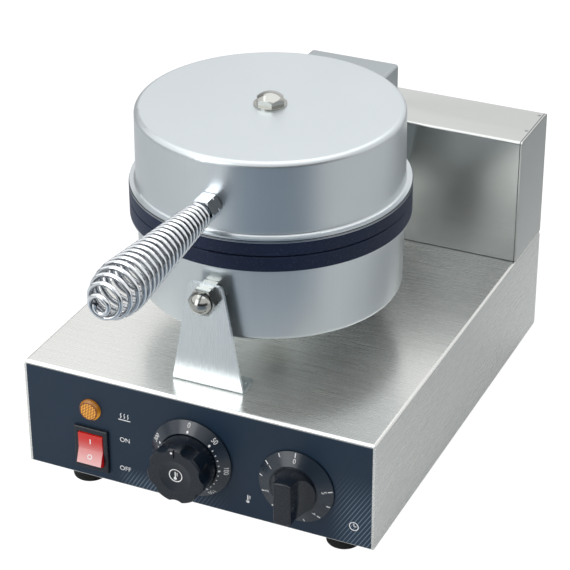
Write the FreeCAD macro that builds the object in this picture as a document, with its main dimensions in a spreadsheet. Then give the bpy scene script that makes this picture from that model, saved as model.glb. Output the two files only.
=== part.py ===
import FreeCAD, Part
import math
import os
import Sketcher

# A countertop waffle cone maker: a steel base box with a control panel, a round lower pan
# carried on a front bracket and a rear conduit, and a hinged lid with a coiled wire handle.
# Frame: millimetres, +Z up, front towards -Y, origin under the middle of the whole object.

DRIVING = {
    # Base box of folded sheet
    "base_width": 250.0,
    "base_depth": 314.0,
    "base_height": 78.4,
    "sheet": 1.2,
    "bend_radius": 2.0,
    "relief_radius": 1.2,
    "relief_depth": 3.0,
    "lip_width": 14.0,
    "cover_thickness": 1.0,
    "cover_gap": 0.2,
    "cover_screw_inset": 7.0,
    "cover_screw_margin": 60.0,
    "wire_hole_radius": 14.0,
    # Rubber feet
    "foot_height": 18.0,
    "foot_radius": 12.5,
    "foot_taper": 0.8,
    "foot_round": 1.6,
    "foot_side_inset": 31.0,
    "foot_end_inset": 25.5,
    "foot_recess_radius": 5.0,
    "foot_recess_depth": 10.0,
    # Small screws, and the clearance round every screw, stud and bolt
    "screw_radius": 2.0,
    "screw_head_radius": 3.6,
    "screw_head_height": 2.2,
    "screw_tail": 4.0,
    "fit": 0.05,
    # Control panel overlay
    "overlay_thickness": 0.4,
    "overlay_side_margin": 1.8,
    "overlay_top_margin": 2.4,
    "overlay_bottom_margin": 0.6,
    "dial_x": -2.0,
    "control_pitch": 74.0,
    # Temperature dial
    "dial_height": 36.0,
    "dial_ring_radius": 28.5,
    "dial_ring_reach": 6.6,
    "dial_ring_lip": 1.65,
    "dial_ring_bevel": 7.5,
    "dial_knob_radius": 20.2,
    "dial_knob_reach": 25.1,
    "dial_grip_length": 10.5,
    "dial_dish_radius": 11.4,
    "dial_dish_depth": 1.8,
    "dial_scallop_radius": 8.0,
    "dial_scallop_depth": 2.3,
    "knob_edge_round": 1.2,
    "pointer_width": 1.0,
    "pointer_depth": 0.8,
    "pointer_length": 6.2,
    # Timer dial
    "timer_height": 34.5,
    "timer_ring_radius": 26.0,
    "timer_ring_reach": 5.2,
    "timer_ring_lip": 1.3,
    "timer_ring_lift": 0.5,
    "timer_ring_bevel": 9.0,
    "timer_hub_radius": 16.5,
    "timer_scoop_radius": 13.5,
    "timer_scoop_reach": 19.0,
    "timer_bar_width": 12.0,
    "timer_bar_height": 31.0,
    "timer_bar_reach": 23.5,
    "timer_bar_round": 1.0,
    # What the two knobs turn on
    "knob_gap": 0.6,
    "knob_lift": 1.4,
    "shaft_radius": 3.0,
    "shaft_fit": 0.06,
    "shaft_depth": 16.0,
    "shaft_grip": 12.0,
    "bushing_radius": 4.8,
    "bushing_reach": 1.0,
    "thermostat_radius": 19.0,
    "thermostat_depth": 30.0,
    "timer_body_width": 46.0,
    "timer_body_height": 32.0,
    "timer_body_depth": 32.0,
    # Rocker switch
    "switch_height": 23.0,
    "bezel_width": 24.8,
    "bezel_height": 32.0,
    "bezel_reach": 2.5,
    "bezel_round": 0.8,
    "switch_body_width": 21.6,
    "switch_body_height": 28.0,
    "switch_body_depth": 24.0,
    "switch_well_width": 18.6,
    "switch_well_height": 25.0,
    "rocker_width": 18.0,
    "rocker_radius": 12.0,
    "rocker_pivot_depth": 3.0,
    "rocker_crest": 0.6,
    "rocker_tilt": 20.0,
    "rocker_axle_radius": 1.2,
    "rocker_axle_reach": 1.2,
    # Heat lamp
    "lamp_height": 53.0,
    "lamp_rim_radius": 7.5,
    "lamp_rim_reach": 1.6,
    "lamp_face_radius": 6.4,
    "lamp_face_reach": 3.4,
    "lamp_body_radius": 5.5,
    "lamp_body_depth": 20.0,
    # Rear box
    "rear_box_height": 93.6,
    "side_plate_gap": 0.15,
    "rear_screw_side_inset": 35.0,
    "rear_screw_inset": 6.0,
    # Cable gland and terminal block
    "gland_side_inset": 45.0,
    "gland_height": 32.0,
    "gland_bore_radius": 4.0,
    "gland_thread_radius": 8.0,
    "gland_flange_across": 22.0,
    "gland_flange_length": 5.0,
    "gland_cap_radius": 10.0,
    "gland_cap_end_radius": 7.5,
    "gland_cap_length": 11.0,
    "gland_tail": 12.0,
    "gland_nut_length": 5.0,
    "terminal_side_inset": 59.0,
    "terminal_length": 60.0,
    "terminal_width": 22.0,
    "terminal_height": 20.0,
    "terminal_setback": 70.0,
    # Lower pan
    "pan_setback": 117.8,
    "housing_gap": 33.0,
    "housing_height": 53.1,
    "housing_radius": 88.5,
    "housing_draft": 0.9,
    "pan_wall": 1.5,
    "wall_seat_gap": 0.25,
    "nut_seat": 0.7,
    "conduit_nut_seat": 1.1,
    "flange_thickness": 1.0,
    "housing_round": 3.0,
    "plate_radius": 93.1,
    "lower_plate_thickness": 10.3,
    "upper_plate_thickness": 9.0,
    "plate_gap": 0.4,
    "plate_edge_round": 0.8,
    "bake_radius": 83.0,
    "bake_recess": 1.0,
    "grid_pitch": 12.0,
    "grid_width": 1.8,
    "grid_depth": 1.4,
    # Heating
    "element_radius": 60.0,
    "element_tube": 4.0,
    "terminal_angle": 12.0,
    "terminal_drop": 14.0,
    "clamp_radius": 74.0,
    "clamp_thickness": 2.0,
    "wool_gap": 0.3,
    "bolt_radius": 4.0,
    "bolt_depth": 5.0,
    "nut_across": 17.0,
    "nut_height": 6.0,
    "washer_radius": 11.0,
    "washer_thickness": 1.0,
    "dome_height": 3.6,
    "dome_radius": 7.6,
    "bulb_radius": 3.0,
    "bulb_length": 60.0,
    "bulb_offset": 28.0,
    # Front bracket and its stud
    "bracket_setback": 19.6,
    "bracket_thickness": 2.0,
    "bracket_foot_width": 50.0,
    "bracket_top_width": 23.6,
    "bracket_height": 75.3,
    "bracket_foot_depth": 16.0,
    "bracket_round": 3.0,
    "bracket_bend": 1.8,
    "bracket_screw_spread": 32.0,
    "stud_drop": 21.5,
    "stud_radius": 5.0,
    "stud_dome_height": 7.0,
    # Rear conduit
    "conduit_radius": 8.0,
    "conduit_bore": 5.5,
    "collar_radius": 10.0,
    "collar_length": 5.0,
    "conduit_nut_across": 22.0,
    "conduit_nut_length": 5.0,
    # Hinge
    "hinge_clearance": 14.1,
    "hinge_back": 34.2,
    "hinge_rise": 20.0,
    "pin_radius": 4.0,
    "ear_radius": 10.0,
    "ear_thickness": 3.0,
    "ear_gap": 1.0,
    "back_plate_low": 26.0,
    "back_plate_drop": 9.0,
    "clip_radius": 6.5,
    "clip_thickness": 1.2,
    "pin_tail": 1.4,
    "sleeve_wall": 2.6,
    "hinge_box_width": 66.0,
    "hinge_box_rise": 40.5,
    "hinge_box_low": 14.0,
    "hinge_box_wall_low": 18.0,
    "hinge_box_sheet": 1.5,
    "hinge_box_bend": 2.4,
    "hinge_box_gap": 0.4,
    "lid_seat_gap": 0.1,
    # Lid
    "lid_radius": 88.6,
    "lid_draft": 0.6,
    "lid_height": 50.9,
    "lid_flange_radius": 92.6,
    "lid_flange_thickness": 1.2,
    "lid_edge_round": 3.6,
    "lid_foot_round": 1.6,
    "rim_ring_radius": 93.0,
    "rim_ring_thickness": 1.3,
    "rim_groove": 0.2,
    # Handle
    "handle_rise": 30.5,
    "handle_nut_across": 15.6,
    "lock_nut_length": 5.0,
    "ferrule_length": 8.3,
    "handle_stud_radius": 3.5,
    "ferrule_core_gap": 0.3,
    "ferrule_core_length": 14.0,
    "wire_diameter": 3.0,
    "spring_length": 125.7,
    "spring_turns": 22.0,
    "spring_start_radius": 7.4,
    "spring_wide_radius": 15.2,
    "spring_tip_radius": 6.2,
    "spring_ball_length": 27.0,
    "spring_pitch_growth": 0.2,
    "spring_lead": 0.6,
    "spring_lead_bend": 3.4,
}

document = FreeCAD.newDocument("waffle_cone_maker")
sheet = document.addObject("Spreadsheet::Sheet", "Sizes")
nodes = {}


class Size:
    """A length over the sheet: the expression that the document keeps, and its present value."""

    def __init__(self, text, value):
        self.text = text
        self.value = value

    def __float__(self):
        return self.value

    def __add__(self, other):
        other = sized(other)
        return Size(f"({self.text} + {other.text})", self.value + other.value)

    def __radd__(self, other):
        return sized(other) + self

    def __sub__(self, other):
        other = sized(other)
        return Size(f"({self.text} - {other.text})", self.value - other.value)

    def __rsub__(self, other):
        return sized(other) - self

    def __mul__(self, other):
        other = sized(other)
        return Size(f"({self.text} * {other.text})", self.value * other.value)

    def __rmul__(self, other):
        return sized(other) * self

    def __truediv__(self, other):
        other = sized(other)
        return Size(f"({self.text} / {other.text})", self.value / other.value)

    def __neg__(self):
        return sized(0.0) - self


class Sheet:
    """The driving dimensions by name, each a Size."""

    def __init__(self, driving):
        for row, (alias, value) in enumerate(driving.items(), 1):
            address = f"A{row}"
            sheet.set(address, str(value))
            sheet.setAlias(address, alias)
            setattr(self, alias, Size(f"Sizes.{alias}", float(value)))


def sized(value):
    """Give a plain number the form of a Size."""
    if isinstance(value, Size):
        return value
    return Size(f"({float(value)!r})", float(value))


s = Sheet(DRIVING)
document.recompute()

HALF = 0.5
CLOSE = 0.01
KNOB_LOBES = 7
TERMINAL_WELLS = 5
SAMPLES_PER_WIRE = 4
NEAR_WIRES = 3.0
WAY_STEP = 1e-5
PARALLEL = 1e-9
HEX_CORNERS = 1.0 / math.sqrt(3.0)

# Levels and places that the pieces share
stud_wall_radius = s.housing_radius - s.housing_draft * (
    (s.stud_drop - s.flange_thickness) / (s.housing_height - s.flange_thickness)
)
handle_wall_rise = s.handle_rise - s.plate_gap - s.upper_plate_thickness - s.rim_ring_thickness - s.rim_groove
handle_wall_radius = s.lid_radius - s.lid_draft * (
    (handle_wall_rise - s.lid_flange_thickness) / (s.lid_height - s.lid_flange_thickness)
)
ferrule_face = s.pan_setback - handle_wall_radius - s.wall_seat_gap - s.lock_nut_length - s.ferrule_length
handle_reach = s.spring_length + s.wire_diameter * HALF - ferrule_face
gland_reach = s.gland_flange_length + s.gland_cap_length
front = (handle_reach - s.base_depth - gland_reach) * HALF
rear = front + s.base_depth
base_low = s.foot_height
base_top = base_low + s.base_height
half_width = s.base_width * HALF
overlay_face = front - s.overlay_thickness
panel_back = front + s.sheet
rear_box_top = base_top + s.rear_box_height
gland_x = s.gland_side_inset - half_width
terminal_x = s.terminal_side_inset - half_width
switch_x = s.dial_x - s.control_pitch
timer_x = s.dial_x + s.control_pitch
dial_z = base_low + s.dial_height
timer_z = base_low + s.timer_height
switch_z = base_low + s.switch_height
lamp_z = base_low + s.lamp_height
pan_y = front + s.pan_setback
hinge_y = pan_y + s.plate_radius + s.hinge_clearance
rear_box_front = hinge_y + s.hinge_back
housing_low = base_top + s.housing_gap
housing_top = housing_low + s.housing_height
lower_plate_top = housing_top + s.lower_plate_thickness
upper_plate_low = lower_plate_top + s.plate_gap
upper_plate_top = upper_plate_low + s.upper_plate_thickness
ring_top = upper_plate_top + s.rim_ring_thickness
lid_low = ring_top + s.rim_groove
lid_top = lid_low + s.lid_height
stud_z = housing_top - s.stud_drop
bracket_front = front + s.bracket_setback
bracket_back = bracket_front + s.bracket_thickness
hinge_z = lower_plate_top + s.hinge_rise
handle_z = lower_plate_top + s.handle_rise
back_plate_front = rear_box_front - s.ear_thickness
zero = sized(0.0)

TURNS = {
    "Z": FreeCAD.Rotation(),
    "-Z": FreeCAD.Rotation(FreeCAD.Vector(1, 0, 0), 180),
    "Y": FreeCAD.Rotation(FreeCAD.Vector(1, 0, 0), -90),
    "-Y": FreeCAD.Rotation(FreeCAD.Vector(1, 0, 0), 90),
    "X": FreeCAD.Rotation(FreeCAD.Vector(0, 1, 0), 90),
    "-X": FreeCAD.Rotation(FreeCAD.Vector(0, 1, 0), -90),
}


def bind(thing, places):
    """Tie properties of a document object to sizes."""
    for name, size in places.items():
        thing.setExpression(name, sized(size).text)


def place(thing, at, axis="Z"):
    """Stand an object at a point, with its own Z along an axis of the frame."""
    x, y, z = at
    thing.Placement = FreeCAD.Placement(FreeCAD.Vector(), TURNS[axis])
    bind(thing, {"Placement.Base.x": x, "Placement.Base.y": y, "Placement.Base.z": z})


def keep(name, thing):
    """Make an object a sub-part under its own name."""
    thing.Label = name
    nodes[name] = thing
    return thing


def box(name, low, high):
    """A block between two corners."""
    thing = document.addObject("Part::Box", name)
    length, width, height = (sized(b) - sized(a) for a, b in zip(low, high))
    bind(thing, {"Length": length, "Width": width, "Height": height})
    place(thing, low)
    return thing


def rod(name, radius, at, length, axis="Z"):
    """A round bar from a point along an axis."""
    thing = document.addObject("Part::Cylinder", name)
    bind(thing, {"Radius": radius, "Height": length})
    place(thing, at, axis)
    return thing


def taper(name, start_radius, end_radius, at, length, axis="Z"):
    """A cone from a point along an axis."""
    thing = document.addObject("Part::Cone", name)
    bind(thing, {"Radius1": start_radius, "Radius2": end_radius, "Height": length})
    place(thing, at, axis)
    return thing


def hexagon(name, across_flats, at, length, axis="Z"):
    """A six-sided bar from a point along an axis."""
    thing = document.addObject("Part::Prism", name)
    thing.Polygon = 6
    bind(thing, {"Circumradius": across_flats * HEX_CORNERS, "Height": length})
    place(thing, at, axis)
    return thing


def dome(name, radius, height, at, axis="Z"):
    """Half an ellipsoid that rises from a point along an axis."""
    thing = document.addObject("Part::Ellipsoid", name)
    thing.Angle1 = 0
    bind(thing, {"Radius1": height, "Radius2": radius, "Radius3": radius})
    place(thing, at, axis)
    return thing


def ball(name, radius, at):
    """A sphere about a point."""
    thing = document.addObject("Part::Sphere", name)
    bind(thing, {"Radius": radius})
    place(thing, at)
    return thing


def fuse(name, *things):
    """One solid from several that meet."""
    thing = document.addObject("Part::MultiFuse", name)
    thing.Shapes = list(things)
    thing.Refine = True
    return thing


def group(name, things):
    """Separate solids under one name."""
    thing = document.addObject("Part::Compound", name)
    thing.Links = list(things)
    return thing


def cut(name, base, *tools):
    """A solid with others taken out of it."""
    thing = document.addObject("Part::Cut", f"{name}_cut")
    thing.Base = base
    thing.Tool = tools[0] if len(tools) == 1 else joined_tools(f"{name}_tools", tools)
    thing.Refine = False
    return thing


def joined_tools(name, tools):
    """Several cutting tools as one."""
    thing = document.addObject("Part::MultiFuse", name)
    thing.Shapes = list(tools)
    thing.Refine = False
    return thing


def rounded(name, base, radius, chosen):
    """A solid with its chosen edges rounded."""
    base.recompute(True)
    numbers = [i for i, edge in enumerate(base.Shape.Edges, 1) if chosen(edge)]
    if not numbers:
        raise RuntimeError(f"{name}: no edge to round")
    thing = document.addObject("Part::Fillet", name)
    thing.Base = base
    thing.Edges = [(number, float(radius), float(radius)) for number in numbers]
    return thing


def outline(body, role, points):
    """A closed outline on a plane of the body, each corner bound to its two sizes."""
    sketch = body.newObject("Sketcher::SketchObject", f"{body.Name}_outline")
    plane = next(item for item in body.Origin.OriginFeatures if item.Role == role)
    sketch.AttachmentSupport = [(plane, "")]
    sketch.MapMode = "FlatFace"
    corners = [FreeCAD.Vector(float(a), float(b), 0) for a, b in points]
    for start, end in zip(corners, corners[1:] + corners[:1]):
        sketch.addGeometry(Part.LineSegment(start, end))
    for index in range(len(corners)):
        following = (index + 1) % len(corners)
        sketch.addConstraint(Sketcher.Constraint("Coincident", index, 2, following, 1))
    for index, corner in enumerate(points):
        for kind, size in zip(("DistanceX", "DistanceY"), corner):
            made = Sketcher.Constraint(kind, -1, 1, index, 1, float(size))
            number = sketch.addConstraint(made)
            sketch.setExpression(f"Constraints[{number}]", sized(size).text)
    return sketch


def turned(name, points, at, axis="Z"):
    """A body of revolution from an outline of radius and height."""
    body = document.addObject("PartDesign::Body", name)
    sketch = outline(body, "XZ_Plane", points)
    feature = body.newObject("PartDesign::Revolution", f"{name}_turn")
    feature.Profile = sketch
    feature.ReferenceAxis = (sketch, ["V_Axis"])
    feature.Angle = 360.0
    place(body, at, axis)
    return body


def plate(name, points, role, start, thickness):
    """A flat body: an outline on a plane, made thick along that plane's axis from a start."""
    body = document.addObject("PartDesign::Body", name)
    sketch = outline(body, role, points)
    feature = body.newObject("PartDesign::Pad", f"{name}_pad")
    feature.Profile = sketch
    feature.Reversed = role == "XZ_Plane"
    bind(feature, {"Length": thickness})
    along = {"XY_Plane": "z", "XZ_Plane": "y", "YZ_Plane": "x"}[role]
    bind(body, {f"Placement.Base.{along}": start})
    return body


def soften(body, radius, chosen):
    """Round the chosen edges of a body."""
    base = body.Tip
    base.recompute(True)
    names = [f"Edge{i}" for i, edge in enumerate(base.Shape.Edges, 1) if chosen(edge)]
    if not names:
        raise RuntimeError(f"{body.Name}: no edge to round")
    feature = body.newObject("PartDesign::Fillet", f"{body.Name}_round_{len(body.Group)}")
    feature.Base = (base, names)
    bind(feature, {"Radius": radius})
    return body


def circle_at(height, radius):
    """Tell the circle of a turned body at this height and radius."""

    def test(edge):
        curve = edge.Curve
        if not isinstance(curve, Part.Circle):
            return False
        same_radius = abs(curve.Radius - float(radius)) < CLOSE
        return same_radius and abs(curve.Center.z - float(height)) < CLOSE

    return test


def screw(name, at, shank, axis, radius=s.screw_radius, head=s.screw_head_radius):
    """A screw with its head's seat at a point, its shank along an axis and a round head."""
    back = {"Z": "-Z", "-Z": "Z", "Y": "-Y", "-Y": "Y", "X": "-X", "-X": "X"}[axis]
    stem = rod(f"{name}_stem", radius, at, shank, axis)
    cap = rod(f"{name}_head", head, at, s.screw_head_height, back)
    return fuse(name, stem, cap)


def nut(name, across, at, length, axis, bore):
    """A hexagon nut with a through bore."""
    blank = hexagon(f"{name}_blank", across, at, length, axis)
    hole = rod(f"{name}_hole", bore + s.fit, at, length, axis)
    return cut(name, blank, hole)


def cap_nut(name, at, axis, bore, reach, dome_height):
    """A domed nut with a blind bore, standing on a point."""
    offset = s.nut_height if axis == "Z" else -s.nut_height
    x, y, z = at
    dome_at = (x, y, z + offset) if axis == "Z" else (x, y + offset, z)
    blank = hexagon(f"{name}_blank", s.nut_across, at, s.nut_height, axis)
    crown = dome(f"{name}_crown", s.dome_radius, dome_height, dome_at, axis)
    hole = rod(f"{name}_hole", bore + s.fit, at, reach, axis)
    return cut(name, fuse(f"{name}_whole", blank, crown), hole)


# Base box


def foot_places():
    """The four feet, as x and y."""
    side = half_width - s.foot_side_inset
    return [(x, y) for x in (-side, side) for y in (front + s.foot_end_inset, rear - s.foot_end_inset)]


def cover_screw_places():
    """The bottom cover's screws along the two lips, as x and y."""
    side = half_width - s.sheet - s.cover_screw_inset
    ends = (front + s.cover_screw_margin, rear - s.cover_screw_margin)
    return [(x, y) for x in (-side, side) for y in ends]


def rear_screw_places():
    """The screws that hold the rear box's two lips, as x and y."""
    side = half_width - s.rear_screw_side_inset
    rows = (rear_box_front + s.sheet + s.rear_screw_inset, rear - s.sheet - s.rear_screw_inset)
    return [(x, y) for x in (-side, side) for y in rows]


def bracket_screw_places():
    """The two screws of the front bracket's foot, as x and y."""
    spread = s.bracket_screw_spread * HALF
    return [(x, bracket_back + s.bracket_foot_depth * HALF) for x in (-spread, spread)]


def down_holes(name, places, top, depth, radius=s.screw_radius):
    """Clearance holes, straight down from a level, as one tool."""
    made = [rod(f"{name}_{i}", radius + s.fit, (x, y, top), depth, "-Z") for i, (x, y) in enumerate(places)]
    return group(name, made)


def panel_holes(name, start, depth):
    """The control panel's openings through a wall, as one tool."""
    half_w = s.switch_body_width * HALF + s.fit
    half_h = s.switch_body_height * HALF + s.fit
    low = (switch_x - half_w, start, switch_z - half_h)
    high = (switch_x + half_w, start + depth, switch_z + half_h)
    made = [
        box(f"{name}_switch", low, high),
        rod(f"{name}_lamp", s.lamp_body_radius + s.fit, (switch_x, start, lamp_z), depth, "Y"),
        rod(f"{name}_dial", s.bushing_radius + s.fit, (s.dial_x, start, dial_z), depth, "Y"),
        rod(f"{name}_timer", s.bushing_radius + s.fit, (timer_x, start, timer_z), depth, "Y"),
    ]
    return group(name, made)


def make_base_shell():
    """The folded box, open below, with a lip along each side for the bottom cover."""
    blank = box("base_blank", (-half_width, front, base_low), (half_width, rear, base_top))

    def top_edge(edge):
        return all(abs(v.Z - float(base_top)) < CLOSE for v in edge.Vertexes)

    skin = rounded("base_skin", blank, s.bend_radius, top_edge)
    inner_side = half_width - s.sheet
    hollow_low = (-inner_side, front + s.sheet, base_low)
    hollow = box("base_hollow", hollow_low, (inner_side, rear - s.sheet, base_top - s.sheet))
    lip_low = base_low + s.cover_thickness
    lip_edge = inner_side - s.lip_width
    lips = []
    for index, side in enumerate((-1, 1)):
        edges = (lip_edge, inner_side) if side > 0 else (-inner_side, -lip_edge)
        low = (edges[0], front + s.sheet, lip_low)
        lips.append(box(f"base_lip_{index}", low, (edges[1], rear - s.sheet, lip_low + s.sheet)))
    reliefs = []
    for index, (x, y) in enumerate([(a, b) for a in (-half_width, half_width) for b in (front, rear)]):
        start = base_top - s.relief_depth
        reliefs.append(rod(f"base_relief_{index}", s.relief_radius, (x, y, start), s.relief_depth))
    gland_at = (gland_x, rear - s.sheet, base_low + s.gland_height)
    bracket_holes = down_holes("base_bracket_holes", bracket_screw_places(), base_top, s.sheet)
    rear_holes = down_holes("base_rear_holes", rear_screw_places(), base_top, s.sheet)
    lip_top = lip_low + s.sheet
    lip_holes = down_holes("base_lip_holes", cover_screw_places(), lip_top, s.sheet)
    wire_at = (0, (rear_box_front + rear) * HALF, base_top - s.sheet)
    walls = cut("base_walls", skin, hollow)
    whole = fuse("base_whole", walls, *lips)
    shell = cut(
        "base_shell",
        whole,
        group("base_reliefs", reliefs),
        panel_holes("base_panel_holes", front, s.sheet),
        rod("base_gland_hole", s.gland_thread_radius + s.fit, gland_at, s.sheet, "Y"),
        bracket_holes,
        rear_holes,
        lip_holes,
        rod("base_wire_hole", s.wire_hole_radius, wire_at, s.sheet),
    )
    keep("base_shell", shell)


def make_overlay():
    """The dark panel sheet on the front of the base."""
    side = half_width - s.overlay_side_margin
    low = base_low + s.overlay_bottom_margin
    high = base_top - s.overlay_top_margin
    points = [(-side, low), (side, low), (side, high), (-side, high)]
    blank = plate("overlay_blank", points, "XZ_Plane", overlay_face, s.overlay_thickness)
    holes = panel_holes("overlay_holes", overlay_face, s.overlay_thickness)
    keep("front_overlay", cut("front_overlay", blank, holes))


def make_bottom_cover():
    """The flat cover inside the base's lower edge, with its screws."""
    side = half_width - s.sheet - s.cover_gap
    near = front + s.sheet + s.cover_gap
    far = rear - s.sheet - s.cover_gap
    points = [(-side, near), (side, near), (side, far), (-side, far)]
    blank = plate("cover_blank", points, "XY_Plane", base_low, s.cover_thickness)
    top = base_low + s.cover_thickness
    holes = down_holes("cover_holes", cover_screw_places() + foot_places(), top, s.cover_thickness)
    keep("bottom_cover", cut("bottom_cover", blank, holes))
    shank = s.cover_thickness + s.sheet + s.screw_tail
    screws = [
        screw(f"cover_screw_{i}", (x, y, base_low), shank, "Z")
        for i, (x, y) in enumerate(cover_screw_places())
    ]
    keep("bottom_cover_screws", group("bottom_cover_screws", screws))


def make_feet():
    """Four tapered rubber feet, each held by a screw in its recess."""
    recess_top = s.foot_recess_depth
    bore = s.screw_radius + s.fit
    points = [
        (s.foot_recess_radius, zero),
        (s.foot_radius - s.foot_taper, zero),
        (s.foot_radius, s.foot_height),
        (bore, s.foot_height),
        (bore, recess_top),
        (s.foot_recess_radius, recess_top),
    ]
    feet = []
    screws = []
    shank = s.foot_height - recess_top + s.cover_thickness + s.screw_tail
    for index, (x, y) in enumerate(foot_places()):
        foot = turned(f"foot_{index}", points, (x, y, zero))
        soften(foot, s.foot_round, circle_at(0, s.foot_radius - s.foot_taper))
        feet.append(foot)
        screws.append(screw(f"foot_screw_{index}", (x, y, recess_top), shank, "Z"))
    keep("rubber_feet", group("rubber_feet", feet))
    keep("foot_screws", group("foot_screws", screws))


# Rear box


def make_rear_box():
    """The tall box behind the pan: a folded front, top and back, and two end plates."""
    low = (-half_width, rear_box_front, base_top)
    blank = box("rear_blank", low, (half_width, rear, rear_box_top))

    def long_top_edge(edge):
        ends = edge.Vertexes
        level = all(abs(v.Z - float(rear_box_top)) < CLOSE for v in ends)
        return level and abs(ends[0].Y - ends[1].Y) < CLOSE

    skin = rounded("rear_skin", blank, s.bend_radius, long_top_edge)
    inner_front = rear_box_front + s.sheet
    inner_rear = rear - s.sheet
    hollow_low = (-half_width, inner_front, base_top)
    hollow = box("rear_hollow", hollow_low, (half_width, inner_rear, rear_box_top - s.sheet))
    lip_end = half_width - s.sheet - s.side_plate_gap
    lips = []
    for name, near, far in (
        ("rear_lip_front", inner_front, inner_front + s.lip_width),
        ("rear_lip_back", inner_rear - s.lip_width, inner_rear),
    ):
        lips.append(box(name, (-lip_end, near, base_top), (lip_end, far, base_top + s.sheet)))
    whole = fuse("rear_whole", cut("rear_walls", skin, hollow), *lips)
    lip_top = base_top + s.sheet
    shell = cut(
        "rear_box_shell",
        whole,
        down_holes("rear_lip_holes", rear_screw_places(), lip_top, s.sheet),
        rod("rear_conduit_hole", s.conduit_radius + s.fit, (0, rear_box_front, stud_z), s.sheet, "Y"),
        back_plate_holes("rear_plate_holes", rear_box_front, s.sheet),
    )
    keep("rear_box_shell", shell)
    gap = s.side_plate_gap
    ends = []
    sides = [(-half_width, s.sheet - half_width), (half_width - s.sheet, half_width)]
    for index, (near, far) in enumerate(sides):
        end_low = (near, inner_front + gap, base_top)
        ends.append(box(f"rear_end_{index}", end_low, (far, inner_rear - gap, rear_box_top - s.sheet - gap)))
    keep("rear_box_end_plates", group("rear_box_end_plates", ends))
    shank = s.sheet + s.sheet + s.screw_tail
    screws = [
        screw(f"rear_screw_{i}", (x, y, lip_top), shank, "-Z") for i, (x, y) in enumerate(rear_screw_places())
    ]
    keep("rear_box_screws", group("rear_box_screws", screws))


def make_gland():
    """The cable gland in the base's back wall, its lock nut and the terminal block inside."""
    x = gland_x
    z = base_low + s.gland_height
    flange = hexagon("gland_flange", s.gland_flange_across, (x, rear, z), s.gland_flange_length, "Y")
    cap_at = (x, rear + s.gland_flange_length, z)
    cap_radii = (s.gland_cap_radius, s.gland_cap_end_radius)
    cap = taper("gland_cap", *cap_radii, cap_at, s.gland_cap_length, "Y")
    tail_start = rear - s.gland_tail
    tail = rod("gland_thread", s.gland_thread_radius, (x, tail_start, z), s.gland_tail, "Y")
    length = s.gland_tail + gland_reach
    bore = rod("gland_bore", s.gland_bore_radius, (x, tail_start, z), length, "Y")
    keep("cable_gland", cut("cable_gland", fuse("gland_whole", flange, cap, tail), bore))
    nut_at = (x, rear - s.sheet - s.gland_nut_length, z)
    made = nut("gland_nut", s.gland_flange_across, nut_at, s.gland_nut_length, "Y", s.gland_thread_radius)
    keep("gland_lock_nut", made)
    top = base_low + s.cover_thickness
    near = rear - s.terminal_setback
    half_length = s.terminal_length * HALF
    x = terminal_x
    low = (x - half_length, near - s.terminal_width, top)
    block = box("terminal_body", low, (x + half_length, near, top + s.terminal_height))
    wells = []
    for index in range(TERMINAL_WELLS):
        at_x = x - half_length + s.terminal_length * ((index + HALF) / TERMINAL_WELLS)
        well_z = top + s.terminal_height
        at = (at_x, near - s.terminal_width * HALF, well_z)
        wells.append(rod(f"terminal_well_{index}", s.screw_radius, at, s.terminal_height * HALF, "-Z"))
    keep("terminal_block", cut("terminal_block", block, group("terminal_wells", wells)))


# Controls


def make_switch():
    """The rocker switch: a bezel with its body and well, and the rocker on its axle."""
    face = overlay_face - s.bezel_reach
    half_w = s.bezel_width * HALF
    half_h = s.bezel_height * HALF
    low = (switch_x - half_w, face, switch_z - half_h)
    bezel = box("switch_bezel", low, (switch_x + half_w, overlay_face, switch_z + half_h))

    def face_edge(edge):
        return all(abs(v.Y - float(face)) < CLOSE for v in edge.Vertexes)

    bezel = rounded("switch_bezel_soft", bezel, s.bezel_round, face_edge)
    body_w = s.switch_body_width * HALF
    body_h = s.switch_body_height * HALF
    body_low = (switch_x - body_w, overlay_face, switch_z - body_h)
    body_high = (switch_x + body_w, front + s.switch_body_depth, switch_z + body_h)
    body = box("switch_body", body_low, body_high)
    well_w = s.switch_well_width * HALF
    well_h = s.switch_well_height * HALF
    pivot_y = face + s.rocker_pivot_depth
    well_back = pivot_y + s.rocker_radius + s.knob_gap
    well_low = (switch_x - well_w, face, switch_z - well_h)
    well = box("switch_well", well_low, (switch_x + well_w, well_back, switch_z + well_h))
    axle_half = s.rocker_width * HALF + s.rocker_axle_reach
    hole_start = switch_x - axle_half - s.shaft_fit
    hole_length = (axle_half + s.shaft_fit) * 2.0
    hole_radius = s.rocker_axle_radius + s.shaft_fit
    axle_hole = rod("switch_axle_hole", hole_radius, (hole_start, pivot_y, switch_z), hole_length, "X")
    keep("switch_housing", cut("switch_housing", fuse("switch_whole", bezel, body), well, axle_hole))

    half_rocker = s.rocker_width * HALF
    start = (switch_x - half_rocker, pivot_y, switch_z)
    drum = rod("rocker_drum", s.rocker_radius, start, s.rocker_width, "X")
    crest = face - s.rocker_crest
    reach = s.rocker_radius * 2.0
    upper_low = (switch_x - half_rocker, crest - reach, switch_z)
    upper = box("rocker_upper_cut", upper_low, (switch_x + half_rocker, crest, switch_z + reach))
    lower = document.addObject("Part::Box", "rocker_lower_cut")
    bind(lower, {"Length": s.rocker_width, "Width": reach, "Height": reach})
    lower.Placement.Rotation = FreeCAD.Rotation(FreeCAD.Vector(1, 0, 0), 180.0 - float(s.rocker_tilt))
    bind(lower, {"Placement.Base.x": start[0], "Placement.Base.y": crest, "Placement.Base.z": switch_z})
    axle_at = (switch_x - axle_half, pivot_y, switch_z)
    axle = rod("rocker_axle", s.rocker_axle_radius, axle_at, axle_half * 2.0, "X")
    keep("rocker", fuse("rocker", cut("rocker_drum_faces", drum, upper, lower), axle))


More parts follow.
